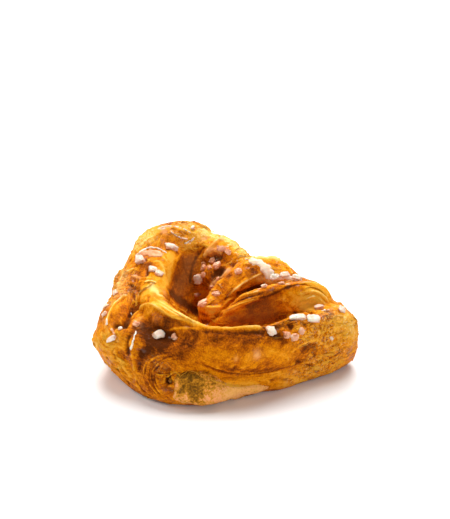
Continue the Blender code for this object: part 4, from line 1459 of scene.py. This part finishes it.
def crust_colour(look, bake, fine, place):
    """The colour of this much browning and shade, with the painted shade, the pale and peach places, and the
    pale flecks that are partly painted glints laid over it.
    """
    colour = look.ramp(bake, CRUST_RAMP)
    colour = look.mix(look.times(look.value("dusk"), 1.0, True), colour, PAINTED_SHADE_COLOUR)
    mottled = look.times(look.value("rough"), look.ranged(fine, 0.38, 0.6, -0.8, 0.5))
    pale = look.times(look.value("pale"), look.math("ADD", mottled, 1.0), True)
    colour = look.mix(pale, colour, look.ramp(pale, PALE_RAMP))
    colour = look.mix(look.times(look.value("peach"), 1.0, True), colour, PEACH)
    # Pale flecks on rough crust, kept off browned and shaded places: partly painted glints.
    flecks_and_glints = look.ranged(look.noise(place, 1.9, 2.0, 0.6), 0.56, 0.64, 0.0, 0.9)
    flecks_and_glints = look.times(flecks_and_glints, look.ranged(look.value("rough"), 0.1, 0.8))
    flecks_and_glints = look.times(flecks_and_glints, look.ranged(look.value("bake"), 0.15, 0.5, 1.0, 0.0))
    return look.mix(flecks_and_glints, colour, FLECK_AND_GLINT)


def crust_material():
    look = Look("baked_crust", 0.34, Coat_Roughness=0.08, Subsurface_Weight=0.08, Subsurface_Scale=0.0012,
                Subsurface_Radius=(1.0, 0.45, 0.12), Specular_IOR_Level=0.05,
                Specular_Tint=(1.0, 0.55, 0.16, 1.0))
    place = look.place()
    lengthwise = look.node("VectorMath", {0: look.vector("grain"), 1: (1.0, 2.6, 1.0)}, operation="MULTIPLY")
    streaks = look.noise(look.vector("grain"), 0.9, 4.0, 0.65)
    flecks = look.noise(lengthwise.outputs[0], 1.25, 4.0, 0.68, 0.6)
    broad = look.noise(place, 0.085, 3.0, 0.55, 0.3)
    patches = look.noise(place, 0.32, 4.0, 0.62)
    fine = look.noise(place, 1.9, 4.0, 0.68)
    uneven = look.total(look.swing(broad, 0.25, 0.75, 0.17), look.swing(patches, 0.25, 0.75, 0.17),
                        look.swing(streaks, 0.3, 0.7, 0.07))
    uneven = look.times(uneven, look.ranged(look.value("calm"), 0.0, 1.0, 1.0, 0.6))
    grainy = look.total(look.swing(fine, 0.35, 0.65, 1.0), look.swing(flecks, 0.32, 0.68, 1.0))
    grainy = look.times(grainy, look.ranged(look.value("rough"), 0.0, 1.0, 0.11, 0.25))
    # Recesses below the local mean are made darker and crests paler: painted shade and painted highlight.
    crest = look.swing(look.value("crest"), -0.5, 0.5, -0.3)
    bake = look.total(uneven, crest, look.value("bake"), MIDDLE_BAKE, grainy)
    colour = crust_colour(look, bake, fine, place)
    roughness = look.ranged(look.total(fine, look.times(patches, 0.6)), 0.5, 1.1, 0.26, 0.6)
    height = look.total(look.times(streaks, 0.3), look.times(flecks, 0.7), look.times(fine, 0.6))
    glints = look.ranged(look.total(patches, look.times(fine, 0.5)), 0.83, 0.92, 0.0, 0.7)
    glints = look.times(glints, look.ranged(look.value("calm"), 0.0, 0.6, 1.0, 0.0))
    coat = look.math("ADD", glints, look.value("gloss"), True)
    return look.finish(colour, roughness, height, 0.0008, coat)


def sugar_material():
    look = Look("pearl_sugar", 0.4, Subsurface_Weight=0.4, Subsurface_Scale=0.0012,
                Subsurface_Radius=(1.0, 0.65, 0.4), Coat_Weight=0.2)
    place = look.place()
    fine = look.noise(place, 2.2, 4.0, 0.6)
    broad = look.noise(place, 0.6, 2.0, 0.5)
    colour = look.mix(look.value("peach"), look.ramp(broad, CLEAN_SUGAR), look.ramp(broad, STAINED_SUGAR))
    return look.finish(colour, None, fine, 0.0005)


def icing_material():
    look = Look("icing", 0.45, Subsurface_Weight=0.3, Subsurface_Scale=0.001,
                Subsurface_Radius=(1.0, 0.6, 0.35), Coat_Weight=0.1, Specular_IOR_Level=0.2)
    place = look.place()
    fine = look.noise(place, 1.0, 2.0)
    broad = look.noise(place, 0.3, 3.0, 0.6)
    colour = look.mix(look.value("peach"), look.ramp(broad, CLEAN_ICING), look.ramp(broad, STAINED_ICING))
    return look.finish(colour, None, fine, 0.0002)


def cream_material():
    look = Look("cream", 0.5, Subsurface_Weight=0.2, Subsurface_Scale=0.0015,
                Subsurface_Radius=(1.0, 0.5, 0.2), Specular_IOR_Level=0.15,
                Specular_Tint=(1.0, 0.7, 0.4, 1.0))
    place = look.place()
    broad = look.noise(place, 0.2, 4.0, 0.6)
    fine = look.noise(place, 1.2, 4.0, 0.65)
    middling = look.noise(place, 0.5, 3.0, 0.6, 0.8)
    # The cream's mottling; its bake tone darkens it here as painted shade.
    cream_lightness = look.total(look.ranged(broad, 0.25, 0.75, 0.42, 0.78), look.swing(fine, 0.3, 0.7, 0.22),
                      look.swing(middling, 0.3, 0.7, 0.2), look.times(look.value("bake"), -0.6),
                      look.times(look.value("peach"), 0.4))
    pale = look.times(look.value("pale"), look.ranged(fine, 0.35, 0.6, 0.55, 1.0), True)
    colour = look.mix(pale, look.ramp(cream_lightness, CREAM_RAMP), CREAM_PALE)
    return look.finish(colour, None, fine, 0.0006)


# ------------------------------- stage

# The floor reaches this far from the middle, and the lights look at a point above it, all in metres. Each
# light has its place, its width, and its power in watts.
FLOOR_REACH = 3.0
FLOOR_COLOUR = (0.93, 0.93, 0.93, 1.0)
LIGHT_AIM = Vector((0.0, 0.0, 0.015))
LIGHTS = {
    "key": ((0.05, 0.4, 0.85), 0.85, 14.0),
    "side": ((-0.75, 0.1, 0.45), 0.4, 3.4),
    "fill": ((0.5, -0.85, 0.34), 0.8, 3.8),
    "rim": ((0.05, 0.9, 0.4), 0.6, 5.0),
}
SKY_STRENGTH = 0.2


def make_stage():
    mesh = bpy.data.meshes.new("floor")
    signs = [(-1.0, -1.0), (1.0, -1.0), (1.0, 1.0), (-1.0, 1.0)]
    mesh.from_pydata([(x * FLOOR_REACH, y * FLOOR_REACH, 0.0) for x, y in signs], [], [(0, 1, 2, 3)])
    floor = new_object("floor", mesh)
    look = Look("pale_floor", 0.6, Base_Color=FLOOR_COLOUR)
    mesh.materials.append(look.finish())


def area_light(name, place, size, power):
    light = bpy.data.lights.new(name, "AREA")
    light.shape = "DISK"
    light.size = size
    light.energy = power
    obj = new_object(name, light)
    obj.location = place
    obj.rotation_euler = (LIGHT_AIM - Vector(place)).to_track_quat("-Z", "Y").to_euler()


def make_light():
    for name, (place, size, power) in LIGHTS.items():
        area_light(name, place, size, power)
    world = bpy.data.worlds.new("studio")
    world.use_nodes = True
    background = world.node_tree.nodes["Background"]
    background.inputs["Color"].default_value = (1.0, 1.0, 1.0, 1.0)
    background.inputs["Strength"].default_value = SKY_STRENGTH
    bpy.context.scene.world = world
    bpy.context.scene.view_settings.view_transform = "Standard"


def make_camera():
    camera = bpy.data.cameras.new("camera")
    camera.lens = LENS
    camera.sensor_width = SENSOR
    camera.sensor_fit = "AUTO"
    obj = new_object("camera", camera)
    obj.location = CAMERA_PLACE
    obj.rotation_euler = CAMERA_TURN
    bpy.context.scene.camera = obj


make_camera()
make_light()
make_stage()
crust_look = crust_material()
crust = make_crust(crust_look)
cream = make_cream()
crust_surface = Surface(crust.data)
whole_surface = Surface(crust.data, cream.data)
make_flakes(crust, crust_surface, whole_surface, crust_look)
make_sugar(crust, crust_surface)
make_icing(crust, crust_surface)
